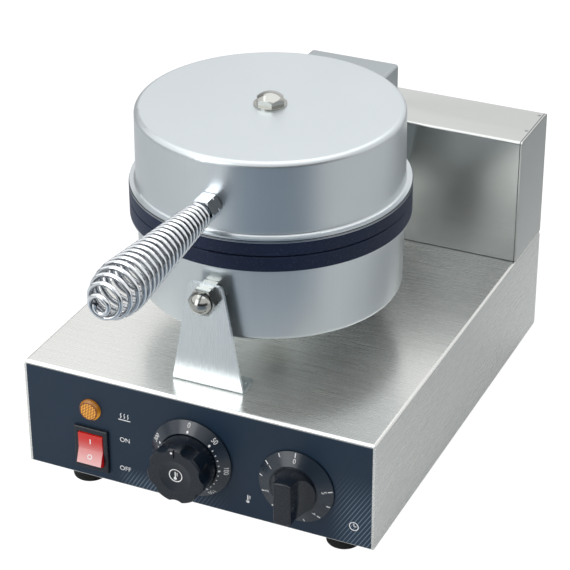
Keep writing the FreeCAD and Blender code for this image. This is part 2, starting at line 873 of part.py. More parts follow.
def make_lamp():
    """The heat lamp: an amber lens with a rim, and its body behind the panel."""
    at = (switch_x, overlay_face, lamp_z)
    rim = rod("lamp_rim", s.lamp_rim_radius, at, s.lamp_rim_reach, "-Y")
    face_at = (switch_x, overlay_face - s.lamp_rim_reach, lamp_z)
    length = s.lamp_face_reach - s.lamp_rim_reach
    face = taper("lamp_face", s.lamp_rim_radius, s.lamp_face_radius, face_at, length, "-Y")
    keep("lamp_lens", fuse("lamp_lens", rim, face))
    body_length = s.overlay_thickness + s.lamp_body_depth
    keep("lamp_body", rod("lamp_body", s.lamp_body_radius, at, body_length, "Y"))


def scale_ring(name, x, z, radius, reach, lip, bevel, bore, lift):
    """A ring with a bevelled face round a knob, lifted off the panel where it turns."""
    points = [
        (bore, lift),
        (radius, lift),
        (radius, lip),
        (radius - bevel, reach),
        (bore, reach),
    ]
    keep(name, turned(name, points, (x, overlay_face, z), "-Y"))


def shaft_and_body(name, body, x, z, shaft_end):
    """A control's body with a bushing through the panel, and the shaft that turns in it."""
    bushing_length = s.sheet + s.overlay_thickness + s.bushing_reach
    bushing = rod(f"{name}_bushing", s.bushing_radius, (x, panel_back, z), bushing_length, "-Y")
    bore_length = bushing_length + s.shaft_depth
    bore_at = (x, overlay_face - s.bushing_reach, z)
    bore = rod(f"{name}_bore", s.shaft_radius + s.shaft_fit, bore_at, bore_length, "Y")
    keep(f"{name}_body", cut(f"{name}_body", fuse(f"{name}_whole", body, bushing), bore))
    depth = panel_back + s.shaft_depth - s.knob_gap
    keep(f"{name}_shaft", rod(f"{name}_shaft", s.shaft_radius, (x, shaft_end, z), depth - shaft_end, "Y"))


def make_temperature_dial():
    """The thermostat with its scale ring, shaft and scalloped knob."""
    x = s.dial_x
    bore = s.dial_knob_radius + s.knob_gap
    args = (s.dial_ring_radius, s.dial_ring_reach, s.dial_ring_lip, s.dial_ring_bevel, bore, zero)
    scale_ring("temperature_scale_ring", x, dial_z, *args)
    back = overlay_face - s.knob_lift
    face = overlay_face - s.dial_knob_reach
    shaft_end = back - s.shaft_grip
    body = rod("thermostat_can", s.thermostat_radius, (x, panel_back, dial_z), s.thermostat_depth, "Y")
    shaft_and_body("thermostat", body, x, dial_z, shaft_end)
    drum = rod("dial_drum", s.dial_knob_radius, (x, face, dial_z), back - face, "Y")

    def rim(edge):
        return isinstance(edge.Curve, Part.Circle) and abs(edge.Curve.Center.y - float(face)) < CLOSE

    drum = rounded("dial_drum_soft", drum, s.knob_edge_round, rim)
    offset = s.dial_knob_radius + s.dial_scallop_radius - s.dial_scallop_depth
    scallops = []
    for index in range(KNOB_LOBES):
        angle = 2.0 * math.pi * (index + HALF) / KNOB_LOBES
        at = (x + offset * math.sin(angle), face, dial_z + offset * math.cos(angle))
        scallops.append(rod(f"dial_scallop_{index}", s.dial_scallop_radius, at, s.dial_grip_length, "Y"))
    dish_curve = (s.dial_dish_radius * s.dial_dish_radius / s.dial_dish_depth + s.dial_dish_depth) * HALF
    dish = ball("dial_dish", dish_curve, (x, face + s.dial_dish_depth - dish_curve, dial_z))
    half_line = s.pointer_width * HALF
    line_low = (x - half_line, face, dial_z + s.dial_knob_radius - s.pointer_length)
    line = box("dial_pointer", line_low, (x + half_line, face + s.pointer_depth, dial_z + s.dial_knob_radius))
    hole = rod("dial_hole", s.shaft_radius + s.fit, (x, back, dial_z), s.shaft_grip, "-Y")
    knob = cut("temperature_knob", drum, group("dial_scallops", scallops), dish, line, hole)
    keep("temperature_knob", knob)


def make_timer_dial():
    """The clockwork timer with its shaft, its bar knob and the scale ring that turns with the knob."""
    x = timer_x
    bore = s.timer_hub_radius + s.fit
    args = (s.timer_ring_radius, s.timer_ring_reach, s.timer_ring_lip, s.timer_ring_bevel, bore)
    scale_ring("timer_scale_ring", x, timer_z, *args, s.timer_ring_lift)
    back = overlay_face - s.knob_lift
    face = overlay_face - s.timer_bar_reach
    half_wide = s.timer_body_width * HALF
    half_tall = s.timer_body_height * HALF
    low = (x - half_wide, panel_back, timer_z - half_tall)
    high = (x + half_wide, panel_back + s.timer_body_depth, timer_z + half_tall)
    shaft_and_body("timer", box("timer_case", low, high), x, timer_z, back - s.shaft_grip)
    ring_face = overlay_face - s.timer_ring_reach
    seat = rod("timer_hub_seat", s.timer_hub_radius, (x, back, timer_z), back - ring_face, "-Y")
    radius = s.timer_bar_height * HALF
    drum = rod("timer_drum", radius, (x, face, timer_z), ring_face - face, "Y")
    scoop_y = overlay_face - s.timer_scoop_reach
    width = s.timer_scoop_radius + s.timer_scoop_radius
    scoops = []
    for index, side in enumerate((-1, 1)):
        edge = x + s.timer_bar_width * HALF * side
        middle = (edge + s.timer_scoop_radius * side, scoop_y, timer_z - radius)
        hollow = rod(f"timer_hollow_{index}", s.timer_scoop_radius, middle, s.timer_bar_height)
        near = edge if side > 0 else edge - width
        low = (near, face, timer_z - radius)
        flat = box(f"timer_flat_{index}", low, (near + width, scoop_y, timer_z + radius))
        scoops.append(fuse(f"timer_scoop_{index}", hollow, flat))

    def face_edge(edge):
        return all(abs(v.Y - float(face)) < CLOSE for v in edge.Vertexes)

    bar = cut("timer_bar", drum, group("timer_scoops", scoops))
    bar = rounded("timer_bar_soft", bar, s.timer_bar_round, face_edge)
    hole = rod("timer_hole", s.shaft_radius + s.fit, (x, back, timer_z), s.shaft_grip, "-Y")
    keep("timer_knob", cut("timer_knob", fuse("timer_knob_whole", seat, bar), hole))


# Lower pan


def baking_grid(name, face, side):
    """The crossing grooves of a baking face, as two tools of parallel bars.

    side is 1 where the solid lies above the face, -1 below.
    """
    reach = s.bake_radius - s.grid_width
    count = math.floor(float(reach) / float(s.grid_pitch))
    half_groove = s.grid_width * HALF
    levels = (face + s.grid_depth * side, face - s.bake_recess * (HALF * side))
    near, far = sorted(levels, key=float)
    rows = []
    columns = []
    for index in range(-count, count + 1):
        offset = s.grid_pitch * index
        share = math.sqrt(1.0 - min(float(offset) / float(reach), 1.0) ** 2)
        chord = reach * share
        row_low = (-chord, pan_y + offset - half_groove, near)
        rows.append(box(f"{name}_row_{index + count}", row_low, (chord, pan_y + offset + half_groove, far)))
        column_low = (offset - half_groove, pan_y - chord, near)
        column_high = (offset + half_groove, pan_y + chord, far)
        columns.append(box(f"{name}_column_{index + count}", column_low, column_high))
    return group(f"{name}_rows", rows), group(f"{name}_columns", columns)


def make_lower_housing():
    """The spun lower housing: floor, wall and a flange that the plate sits on."""
    floor_radius = s.housing_radius - s.housing_draft
    wall_inside = s.housing_radius - s.pan_wall
    floor_inside = floor_radius - s.pan_wall
    flange_low = s.housing_height - s.flange_thickness
    bore = s.bolt_radius + s.fit
    points = [
        (bore, zero),
        (floor_radius, zero),
        (s.housing_radius, flange_low),
        (s.plate_radius, flange_low),
        (s.plate_radius, s.housing_height),
        (wall_inside, s.housing_height),
        (floor_inside, s.pan_wall),
        (bore, s.pan_wall),
    ]
    housing = turned("housing_spun", points, (zero, pan_y, housing_low))
    soften(housing, s.housing_round, circle_at(0, floor_radius))
    through = s.pan_setback * HALF
    stud_hole = rod("housing_stud_hole", s.stud_radius + s.fit, (0, bracket_front, stud_z), through, "Y")
    conduit_at = (0, pan_y + through, stud_z)
    conduit_hole = rod("housing_conduit_hole", s.conduit_radius + s.fit, conduit_at, through, "Y")
    keep("lower_housing", cut("lower_housing", housing, stud_hole, conduit_hole))


def baking_plate(name, low, thickness, face_up):
    """A cast plate with a rim, a shallow baking recess, a grid and a blind hole for its bolt."""
    recess = s.bake_recess
    bore = s.bolt_radius + s.fit
    if face_up:
        points = [
            (bore, zero),
            (s.plate_radius, zero),
            (s.plate_radius, thickness),
            (s.bake_radius, thickness),
            (s.bake_radius, thickness - recess),
            (zero, thickness - recess),
            (zero, s.bolt_depth),
            (bore, s.bolt_depth),
        ]
    else:
        points = [
            (zero, recess),
            (s.bake_radius, recess),
            (s.bake_radius, zero),
            (s.plate_radius, zero),
            (s.plate_radius, thickness),
            (bore, thickness),
            (bore, thickness - s.bolt_depth),
            (zero, thickness - s.bolt_depth),
        ]
    body = turned(f"{name}_cast", points, (zero, pan_y, low))
    soften(body, s.plate_edge_round, circle_at(thickness if face_up else 0, s.plate_radius))
    if face_up:
        rows, columns = baking_grid(name, low + thickness - recess, -1)
    else:
        rows, columns = baking_grid(name, low + recess, 1)
    keep(name, cut(name, cut(f"{name}_rows", body, rows), columns))


def heating_set(name, seat, side, wool_end, bolt_start, bolt_length):
    """What lies behind a baking plate: the element ring, its clamp plate, the wool and the bolt.

    seat is the plate's back, and side is 1 where the set lies above it, -1 below.
    """
    axis = "Z" if side > 0 else "-Z"
    ring = document.addObject("Part::Torus", f"{name}_ring")
    ring.Angle3 = 360.0 - 2.0 * float(s.terminal_angle)
    bind(ring, {"Radius1": s.element_radius, "Radius2": s.element_tube})
    ring_z = seat + s.element_tube * side
    turn = FreeCAD.Rotation(FreeCAD.Vector(0, 0, 1), 90.0 + float(s.terminal_angle))
    ring.Placement = FreeCAD.Placement(FreeCAD.Vector(), turn)
    bind(ring, {"Placement.Base.x": zero, "Placement.Base.y": pan_y, "Placement.Base.z": ring_z})
    angle = math.radians(float(s.terminal_angle))
    leg_y = pan_y + s.element_radius * math.cos(angle)
    ends = [(s.element_radius * math.sin(angle) * hand, leg_y) for hand in (-1, 1)]
    legs = []
    knees = []
    for index, (x, y) in enumerate(ends):
        legs.append(rod(f"{name}_leg_{index}", s.element_tube, (x, y, ring_z), s.terminal_drop, axis))
        knee = document.addObject("Part::Sphere", f"{name}_knee_{index}")
        bind(knee, {"Radius": s.element_tube})
        place(knee, (x, y, ring_z))
        knees.append(knee)
    keep(f"{name}_heating_element", fuse(f"{name}_heating_element", ring, *knees, *legs))

    def leg_holes(title, start, length):
        radius = s.element_tube + s.wool_gap
        made = [rod(f"{title}_{i}", radius, (x, y, start), length, axis) for i, (x, y) in enumerate(ends)]
        return group(title, made)

    clamp_start = seat + s.element_tube * (2.0 * side)
    clamp_at = (0, pan_y, clamp_start)
    clamp = rod(f"{name}_clamp_blank", s.clamp_radius, clamp_at, s.clamp_thickness, axis)
    bolt_hole = rod(f"{name}_clamp_hole", s.bolt_radius + s.fit, clamp_at, s.clamp_thickness, axis)
    legs_through = leg_holes(f"{name}_clamp_legs", clamp_start, s.clamp_thickness)
    keep(f"{name}_clamp_plate", cut(f"{name}_clamp_plate", clamp, bolt_hole, legs_through))

    wool_start = clamp_start + s.clamp_thickness * side
    wool_length = (wool_end - wool_start) * side
    wool_at = (0, pan_y, wool_start)
    wool = rod(f"{name}_wool_blank", s.clamp_radius, wool_at, wool_length, axis)
    wool_hole = rod(f"{name}_wool_hole", s.bolt_radius + s.wool_gap, wool_at, wool_length, axis)
    legs_room = leg_holes(f"{name}_wool_legs", wool_start, s.terminal_drop)
    keep(f"{name}_insulation", cut(f"{name}_insulation", wool, wool_hole, legs_room))
    bolt = rod(f"{name}_center_bolt", s.bolt_radius, (0, pan_y, bolt_start), bolt_length, axis)
    keep(f"{name}_center_bolt", bolt)


def make_lower_pan():
    """The lower housing and plate, with the heating set, its nut and the sensor bulb."""
    make_lower_housing()
    baking_plate("lower_plate", housing_top, s.lower_plate_thickness, True)
    bolt_start = housing_top + s.bolt_depth
    bolt_end = housing_low - s.washer_thickness - s.nut_height
    heating_set("lower", housing_top, -1, housing_low + s.pan_wall, bolt_start, bolt_start - bolt_end)
    washer_at = (0, pan_y, housing_low)
    washer = rod("lower_washer_blank", s.washer_radius, washer_at, s.washer_thickness, "-Z")
    washer_hole = rod("lower_washer_hole", s.bolt_radius + s.fit, washer_at, s.washer_thickness, "-Z")
    keep("lower_washer", cut("lower_washer", washer, washer_hole))
    nut_at = (0, pan_y, housing_low - s.washer_thickness)
    keep("lower_nut", nut("lower_nut", s.nut_across, nut_at, s.nut_height, "-Z", s.bolt_radius))
    bulb_at = (s.bulb_length * -HALF, pan_y + s.bulb_offset, housing_top - s.bulb_radius)
    keep("sensor_bulb", rod("sensor_bulb", s.bulb_radius, bulb_at, s.bulb_length, "X"))


def make_front_bracket():
    """The front bracket with its foot, and the stud, nuts and cap nut that hold the pan to it."""
    half_foot = s.bracket_foot_width * HALF
    half_top = s.bracket_top_width * HALF
    foot_top = base_top + s.bracket_thickness
    top = base_top + s.bracket_height
    points = [(-half_foot, foot_top), (half_foot, foot_top), (half_top, top), (-half_top, top)]
    upright = plate("bracket_upright", points, "XZ_Plane", bracket_front, s.bracket_thickness)

    def top_corner(edge):
        across = edge.Vertexes[0].Y - edge.Vertexes[-1].Y
        return all(abs(v.Z - float(top)) < CLOSE for v in edge.Vertexes) and abs(across) > CLOSE

    soften(upright, s.bracket_round, top_corner)
    foot_back = bracket_back + s.bracket_foot_depth
    foot = box("bracket_foot", (-half_foot, bracket_front, base_top), (half_foot, foot_back, foot_top))

    def back_corner(edge):
        ends = edge.Vertexes
        return all(abs(v.Y - float(foot_back)) < CLOSE for v in ends) and abs(ends[0].X - ends[1].X) < CLOSE

    def bend(edge):
        ends = edge.Vertexes
        at_front = all(abs(v.Y - float(bracket_front)) < CLOSE for v in ends)
        return at_front and all(abs(v.Z - float(base_top)) < CLOSE for v in ends)

    foot = rounded("bracket_foot_corners", foot, s.bracket_round, back_corner)
    foot = rounded("bracket_foot_bend", foot, s.bracket_bend, bend)
    whole = fuse("bracket_whole", upright, foot)
    holes = down_holes("bracket_holes", bracket_screw_places(), foot_top, s.bracket_thickness)
    at = (0, bracket_front, stud_z)
    stud_hole = rod("bracket_stud_hole", s.stud_radius + s.fit, at, s.bracket_thickness, "Y")
    keep("front_bracket", cut("front_bracket", whole, holes, stud_hole))
    shank = s.bracket_thickness + s.sheet + s.screw_tail
    screws = [
        screw(f"bracket_screw_{i}", (x, y, foot_top), shank, "-Z")
        for i, (x, y) in enumerate(bracket_screw_places())
    ]
    keep("bracket_screws", group("bracket_screws", screws))
    wall_front = pan_y - stud_wall_radius
    inner_face = wall_front + s.pan_wall + s.nut_seat
    stud_start = bracket_front - s.nut_height
    stud_end = inner_face + s.nut_height
    keep("pan_stud", rod("pan_stud", s.stud_radius, (0, stud_start, stud_z), stud_end - stud_start, "Y"))
    spacer_length = wall_front - s.wall_seat_gap - bracket_back
    spacer = nut("pan_spacer", s.nut_across, (0, bracket_back, stud_z), spacer_length, "Y", s.stud_radius)
    inner = nut("pan_inner", s.nut_across, (0, inner_face, stud_z), s.nut_height, "Y", s.stud_radius)
    keep("pan_stud_nuts", group("pan_stud_nuts", [spacer, inner]))
    keep("pan_cap_nut", cap_nut("pan_cap_nut", at, "-Y", s.stud_radius, s.nut_height, s.stud_dome_height))


def back_plate_holes(name, start, depth):
    """The screw holes of the hinge bracket's back plate, as one tool."""
    made = [
        rod(f"{name}_{i}", s.screw_radius + s.fit, (x, start, z), depth, "Y")
        for i, (x, z) in enumerate(back_plate_screw_places())
    ]
    return group(name, made)


def back_plate_screw_places():
    """The four screws of the hinge bracket's back plate, as x and z."""
    spread = s.hinge_box_width * HALF - s.conduit_radius
    low = base_top + s.back_plate_low + s.conduit_radius
    high = lower_plate_top - s.back_plate_drop - s.conduit_radius
    return [(x, z) for x in (-spread, spread) for z in (low, high)]


def make_rear_conduit():
    """The hollow rear support: a collared tube from the housing to the rear box, with its two nuts."""
    wall_rear = pan_y + stud_wall_radius
    inner_face = wall_rear - s.pan_wall - s.conduit_nut_seat
    start = inner_face - s.conduit_nut_length
    end = rear_box_front + s.sheet + s.conduit_nut_length
    tube = rod("conduit_tube", s.conduit_radius, (0, start, stud_z), end - start, "Y")
    seat = (0, wall_rear + s.wall_seat_gap, stud_z)
    collars = [
        rod("conduit_collar_front", s.collar_radius, seat, s.collar_length, "Y"),
        rod("conduit_collar_rear", s.collar_radius, (0, back_plate_front, stud_z), s.collar_length, "-Y"),
    ]
    bore = rod("conduit_bore", s.conduit_bore, (0, start, stud_z), end - start, "Y")
    keep("rear_conduit", cut("rear_conduit", fuse("conduit_whole", tube, *collars), bore))
    across = s.conduit_nut_across
    length = s.conduit_nut_length
    nuts = [
        nut("conduit_nut_front", across, (0, start, stud_z), length, "Y", s.conduit_radius),
        nut("conduit_nut_rear", across, (0, rear_box_front + s.sheet, stud_z), length, "Y", s.conduit_radius),
    ]
    keep("conduit_nuts", group("conduit_nuts", nuts))


# Hinge


def make_hinge():
    """The fixed bracket on the rear box, the pin through its ears and the clips on the pin."""
    half_box = s.hinge_box_width * HALF
    inner = half_box + s.ear_gap
    outer = inner + s.ear_thickness
    low = base_top + s.back_plate_low
    top = lower_plate_top - s.back_plate_drop
    back = box("bracket_back", (-outer, back_plate_front, low), (outer, rear_box_front, top))
    points = [
        (rear_box_front, low),
        (rear_box_front, top),
        (hinge_y + s.ear_radius, hinge_z),
        (hinge_y - s.ear_radius, hinge_z),
    ]
    pieces = [back]
    for index, start in enumerate((-outer, inner)):
        pieces.append(plate(f"ear_{index}", points, "YZ_Plane", start, s.ear_thickness))
        pieces.append(rod(f"ear_eye_{index}", s.ear_radius, (start, hinge_y, hinge_z), s.ear_thickness, "X"))
    length = outer * 2.0
    pin_hole = rod("ear_pin_hole", s.pin_radius + s.fit, (-outer, hinge_y, hinge_z), length, "X")
    conduit_hole = rod(
        "back_conduit_hole", s.conduit_radius + s.fit, (0, back_plate_front, stud_z), s.ear_thickness, "Y"
    )
    screw_holes = back_plate_holes("back_screw_holes", back_plate_front, s.ear_thickness)
    whole = fuse("hinge_bracket_whole", *pieces)
    keep("hinge_bracket", cut("hinge_bracket", whole, pin_hole, conduit_hole, screw_holes))
    shank = s.ear_thickness + s.sheet + s.screw_tail
    screws = [
        screw(f"hinge_screw_{i}", (x, back_plate_front, z), shank, "Y")
        for i, (x, z) in enumerate(back_plate_screw_places())
    ]
    keep("hinge_bracket_screws", group("hinge_bracket_screws", screws))
    reach = outer + s.clip_thickness + s.pin_tail
    keep("hinge_pin", rod("hinge_pin", s.pin_radius, (-reach, hinge_y, hinge_z), reach * 2.0, "X"))
    clips = []
    for index, start in enumerate((-outer - s.clip_thickness, outer)):
        at = (start, hinge_y, hinge_z)
        blank = rod(f"clip_blank_{index}", s.clip_radius, at, s.clip_thickness, "X")
        hole = rod(f"clip_hole_{index}", s.pin_radius + s.fit, at, s.clip_thickness, "X")
        clips.append(cut(f"clip_{index}", blank, hole))
    keep("hinge_clips", group("hinge_clips", clips))


# Lid


def make_lid_cover():
    """The spun lid: a flat top, a wall with a little draft and a flange above the rim ring."""
    top_radius = s.lid_radius - s.lid_draft
    inner_top = top_radius - s.pan_wall
    bore = s.bolt_radius + s.fit
    points = [
        (bore, s.lid_height),
        (top_radius, s.lid_height),
        (s.lid_radius, s.lid_flange_thickness),
        (s.lid_flange_radius, s.lid_flange_thickness),
        (s.lid_flange_radius, zero),
        (s.lid_radius - s.pan_wall, zero),
        (inner_top, s.lid_height - s.pan_wall),
        (bore, s.lid_height - s.pan_wall),
    ]
    cover = turned("lid_spun", points, (zero, pan_y, lid_low))
    soften(cover, s.lid_edge_round, circle_at(s.lid_height, top_radius))
    soften(cover, s.lid_foot_round, circle_at(s.lid_flange_thickness, s.lid_radius))
    through = s.pan_setback * HALF
    stud_hole = rod("lid_stud_hole", s.handle_stud_radius + s.fit, (0, front, handle_z), through, "Y")
    wire_hole = rod("lid_wire_hole", s.conduit_bore, (0, pan_y + through, handle_z), through, "Y")
    keep("lid_cover", cut("lid_cover", cover, stud_hole, wire_hole))
    ring_bore = s.lid_radius - s.pan_wall
    points = [
        (ring_bore, zero),
        (s.rim_ring_radius, zero),
        (s.rim_ring_radius, s.rim_ring_thickness),
        (s.lid_radius, s.rim_ring_thickness),
        (s.lid_radius, s.rim_ring_thickness + s.rim_groove),
        (ring_bore, s.rim_ring_thickness + s.rim_groove),
    ]
    keep("lid_rim_ring", turned("lid_rim_ring", points, (zero, pan_y, upper_plate_top)))


def make_lid_heating():
    """The upper plate, its heating set, and the washer and cap nut on the lid."""
    baking_plate("upper_plate", upper_plate_low, s.upper_plate_thickness, False)
    bolt_start = upper_plate_top - s.bolt_depth
    bolt_end = lid_top + s.washer_thickness + s.nut_height
    heating_set("upper", upper_plate_top, 1, lid_top - s.pan_wall, bolt_start, bolt_end - bolt_start)
    washer_at = (0, pan_y, lid_top)
    washer = rod("lid_washer_blank", s.washer_radius, washer_at, s.washer_thickness)
    washer_hole = rod("lid_washer_hole", s.bolt_radius + s.fit, washer_at, s.washer_thickness)
    keep("lid_washer", cut("lid_washer", washer, washer_hole))
    nut_at = (0, pan_y, lid_top + s.washer_thickness)
    keep("lid_cap_nut", cap_nut("lid_cap_nut", nut_at, "Z", s.bolt_radius, s.nut_height, s.dome_height))


def make_hinge_box():
    """The folded box on the back of the lid that turns on the hinge pin, and its sleeve."""
    half_box = s.hinge_box_width * HALF
    inner = half_box - s.hinge_box_sheet
    low = lower_plate_top + s.hinge_box_low
    top = lower_plate_top + s.hinge_box_rise
    back = rear_box_front - s.hinge_box_gap
    start = pan_y + s.lid_radius * HALF
    blank = box("hinge_box_blank", (-half_box, start, low), (half_box, back, top))

    def bend(edge):
        ends = edge.Vertexes
        at_back = all(abs(v.Y - float(back)) < CLOSE for v in ends)
        at_top = all(abs(v.Z - float(top)) < CLOSE for v in ends)
        at_side = abs(ends[0].X - ends[1].X) < CLOSE
        return (at_back and at_side) or (at_top and (at_back or at_side))

    skin = rounded("hinge_box_skin", blank, s.hinge_box_bend, bend)
    hollow_high = (inner, back - s.hinge_box_sheet, top - s.hinge_box_sheet)
    hollow = box("hinge_box_hollow", (-inner, start, low), hollow_high)
    notch_low = (-half_box, back - s.hinge_box_bend - s.hinge_box_sheet, low)
    notch = box("hinge_box_notch", notch_low, (half_box, back, lower_plate_top + s.hinge_box_wall_low))
    seat = rod("hinge_box_seat", s.lid_radius + s.lid_seat_gap, (0, pan_y, low), top - low)
    hole_radius = s.pin_radius + s.shaft_fit
    pin_hole = rod("hinge_box_pin_hole", hole_radius, (-half_box, hinge_y, hinge_z), s.hinge_box_width, "X")
    keep("hinge_box", cut("hinge_box", skin, hollow, notch, seat, pin_hole))
    at = (-inner, hinge_y, hinge_z)
    tube = rod("sleeve_tube", s.pin_radius + s.shaft_fit + s.sleeve_wall, at, inner * 2.0, "X")
    bore = rod("sleeve_bore", hole_radius, at, inner * 2.0, "X")
    keep("hinge_sleeve", cut("hinge_sleeve", tube, bore))


# Handle


def make_handle_fittings():
    """The handle's stud, its inner nut, the lock nut outside and the ferrule that holds the coil."""
    wall = pan_y - handle_wall_radius
    inner_face = wall + s.pan_wall + s.nut_seat
    nut_end = wall - s.wall_seat_gap - s.lock_nut_length
    face = nut_end - s.ferrule_length
    core_end = face - s.ferrule_core_length
    radius = s.handle_stud_radius
    stud_end = inner_face + s.lock_nut_length
    keep("handle_stud", rod("handle_stud", radius, (0, face, handle_z), stud_end - face, "Y"))
    across = s.handle_nut_across
    inner = nut("handle_inner", across, (0, inner_face, handle_z), s.lock_nut_length, "Y", radius)
    outer = nut("handle_lock", across, (0, nut_end, handle_z), s.lock_nut_length, "Y", radius)
    keep("handle_nuts", group("handle_nuts", [inner, outer]))
    blank = hexagon("ferrule_hex", across, (0, face, handle_z), s.ferrule_length, "Y")
    core_radius = s.spring_start_radius - s.wire_diameter * HALF - s.ferrule_core_gap
    core = rod("ferrule_core", core_radius, (0, core_end, handle_z), s.ferrule_core_length, "Y")
    hole = rod("ferrule_hole", radius + s.fit, (0, face, handle_z), s.ferrule_length, "Y")
    keep("handle_ferrule", cut("handle_ferrule", fuse("ferrule_whole", blank, core), hole))


def coil_point(share):
    """The wire's middle along the coil, from 0 at the ferrule to 1 at the tip."""
    growth = float(s.spring_pitch_growth)
    lead = float(s.spring_lead + s.spring_lead_bend)
    run = float(s.spring_length) - lead
    along = run * (share * (1.0 - growth) + growth * share * share)
    ball = float(s.spring_ball_length)
    wide = float(s.spring_wide_radius)
    cone = run - ball
    if along <= cone:
        narrow = float(s.spring_start_radius)
        radius = narrow + (wide - narrow) * along / cone
    else:
        closing = 1.0 - (float(s.spring_tip_radius) / wide) ** 2
        radius = wide * math.sqrt(1.0 - closing * ((along - cone) / ball) ** 2)
    angle = 2.0 * math.pi * float(s.spring_turns) * share
    face = float(front + ferrule_face)
    return FreeCAD.Vector(
        radius * math.sin(angle), face - lead - along, float(handle_z) + radius * math.cos(angle)
    )


def coil_direction(share):
    """The wire's direction along the coil."""
    low = max(share - WAY_STEP, 0.0)
    high = min(share + WAY_STEP, 1.0)
    return (coil_point(high) - coil_point(low)).normalize()


def biarc(start, start_way, end, end_way):
    """Two arcs that leave one point and reach another in given directions."""
    chord = end - start
    ways = start_way + end_way
    spread = 2.0 * (1.0 - start_way.dot(end_way))
    along = chord.dot(ways)
    if spread < PARALLEL:
        reach = chord.dot(chord) / (2.0 * along)
    else:
        reach = (-along + math.sqrt(along * along + spread * chord.dot(chord))) / spread
    first = start + start_way * reach
    second = end - end_way * reach
    joint = (first + second) * HALF
    return [arc(start, first, joint, reach), arc(joint, second, end, reach)]


def arc(start, corner, end, reach):
    """The arc from one point to another whose end tangents meet at a corner."""
    middle = (start + end) * HALF
    half_chord = (end - start).Length * HALF
    height = (corner - middle).Length
    rise = half_chord * (reach - half_chord) / height
    top = middle + (corner - middle) * (rise / height)
    return Part.Arc(start, top, end).toShape()


def make_handle_spring():
    """The coiled wire grip: one tube that leaves the ferrule square and winds out to a ball end."""
    wire = float(s.wire_diameter)
    outwards = FreeCAD.Vector(0, -1, 0)
    quarter_turns = int(round(float(s.spring_turns) * 4))
    shares = [index / quarter_turns for index in range(quarter_turns + 1)]
    points = [coil_point(share) for share in shares]
    ways = [coil_direction(share) for share in shares]
    face = float(front + ferrule_face)
    lead_radius = float(s.spring_start_radius)
    lead_angle = -float(s.spring_lead_bend) / lead_radius
    root = FreeCAD.Vector(
        lead_radius * math.sin(lead_angle), face, float(handle_z) + lead_radius * math.cos(lead_angle)
    )
    bend = root + outwards * float(s.spring_lead)
    edges = [Part.LineSegment(root, bend).toShape()]
    edges += biarc(bend, outwards, points[0], ways[0])
    for start, start_way, end, end_way in zip(points, ways, points[1:], ways[1:]):
        edges += biarc(start, start_way, end, end_way)
    edges.append(Part.LineSegment(points[-1], points[-1] + ways[-1] * wire).toShape())
    path = Part.Wire(edges)
    section = Part.Wire([Part.Circle(root, outwards, wire * HALF).toShape()])
    tube = path.makePipeShell([section], True, False)
    expected = path.Length * math.pi * (wire * HALF) ** 2
    print("handle_spring tube volume over section times length", round(tube.Volume / expected, 4))
    print("handle_spring least gap to itself", round(least_gap(path, wire), 3), "mm")
    print("handle_spring tightest bend", round(tightest_bend(edges), 3), "mm")
    spring = document.addObject("Part::Feature", "handle_spring")
    spring.Shape = tube
    keep("handle_spring", spring)


def least_gap(path, wire):
    """The least clear distance between stretches of the wire that are over three diameters apart along it."""
    step = wire / SAMPLES_PER_WIRE
    samples = path.discretize(Distance=step)
    skip = int(math.pi * wire / step)
    least = math.inf
    for index, point in enumerate(samples):
        for other in samples[index + skip :]:
            if abs(other.y - point.y) > NEAR_WIRES * wire:
                continue
            least = min(least, point.distanceToPoint(other))
    return least - wire


def tightest_bend(edges):
    """The smallest arc radius along the wire."""
    return min(edge.Curve.Radius for edge in edges if isinstance(edge.Curve, Part.Circle))


def main():
    """Build every sub-part, check that each shape is sound and write it."""
    make_base_shell()
    make_overlay()
    make_bottom_cover()
    make_feet()
    make_rear_box()
    make_gland()
    make_switch()
    make_lamp()
    make_temperature_dial()
    make_timer_dial()
    make_lower_pan()
    make_front_bracket()
    make_rear_conduit()
    make_hinge()
    make_lid_cover()
    make_lid_heating()
    make_hinge_box()
    make_handle_fittings()
    make_handle_spring()
    document.recompute()
    for thing in document.Objects:
        if {"Invalid", "Error"} & set(thing.State):
            raise RuntimeError(f"{thing.Name} failed: {thing.State}")
    for name, thing in nodes.items():
        if thing.Shape.isNull() or not thing.Shape.isValid():
            raise RuntimeError(f"{name}: bad shape")
    os.makedirs("parts", exist_ok=True)
    for name, thing in nodes.items():
        thing.Shape.exportStep(f"parts/{name}.step")
    print(len(nodes), "sub-parts written")


main()
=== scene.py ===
"""Dress a countertop waffle cone maker: finishes for its solids and the pieces modelled over them."""

import logging
import math
from contextlib import contextmanager
from dataclasses import dataclass, field
from enum import Enum
from typing import Any, Iterator, Sequence

import bpy
from mathutils import Matrix, Vector


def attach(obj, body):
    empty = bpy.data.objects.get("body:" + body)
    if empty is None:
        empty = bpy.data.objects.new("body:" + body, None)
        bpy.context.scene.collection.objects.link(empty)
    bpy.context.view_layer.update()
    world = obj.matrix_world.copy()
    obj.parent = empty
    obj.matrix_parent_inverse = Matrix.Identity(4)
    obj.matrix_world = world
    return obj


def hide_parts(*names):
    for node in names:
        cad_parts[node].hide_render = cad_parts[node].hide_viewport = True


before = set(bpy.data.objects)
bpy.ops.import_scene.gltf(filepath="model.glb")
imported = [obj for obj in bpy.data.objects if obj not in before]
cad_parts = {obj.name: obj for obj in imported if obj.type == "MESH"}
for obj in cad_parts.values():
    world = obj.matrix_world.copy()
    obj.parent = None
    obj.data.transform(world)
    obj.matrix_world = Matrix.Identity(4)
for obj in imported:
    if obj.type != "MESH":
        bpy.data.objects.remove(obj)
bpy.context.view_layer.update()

log = logging.getLogger("cone_maker")

Colour = tuple[float, float, float, float]
Place = tuple[float, float]
Point = tuple[float, float, float]
Thing = bpy.types.Object

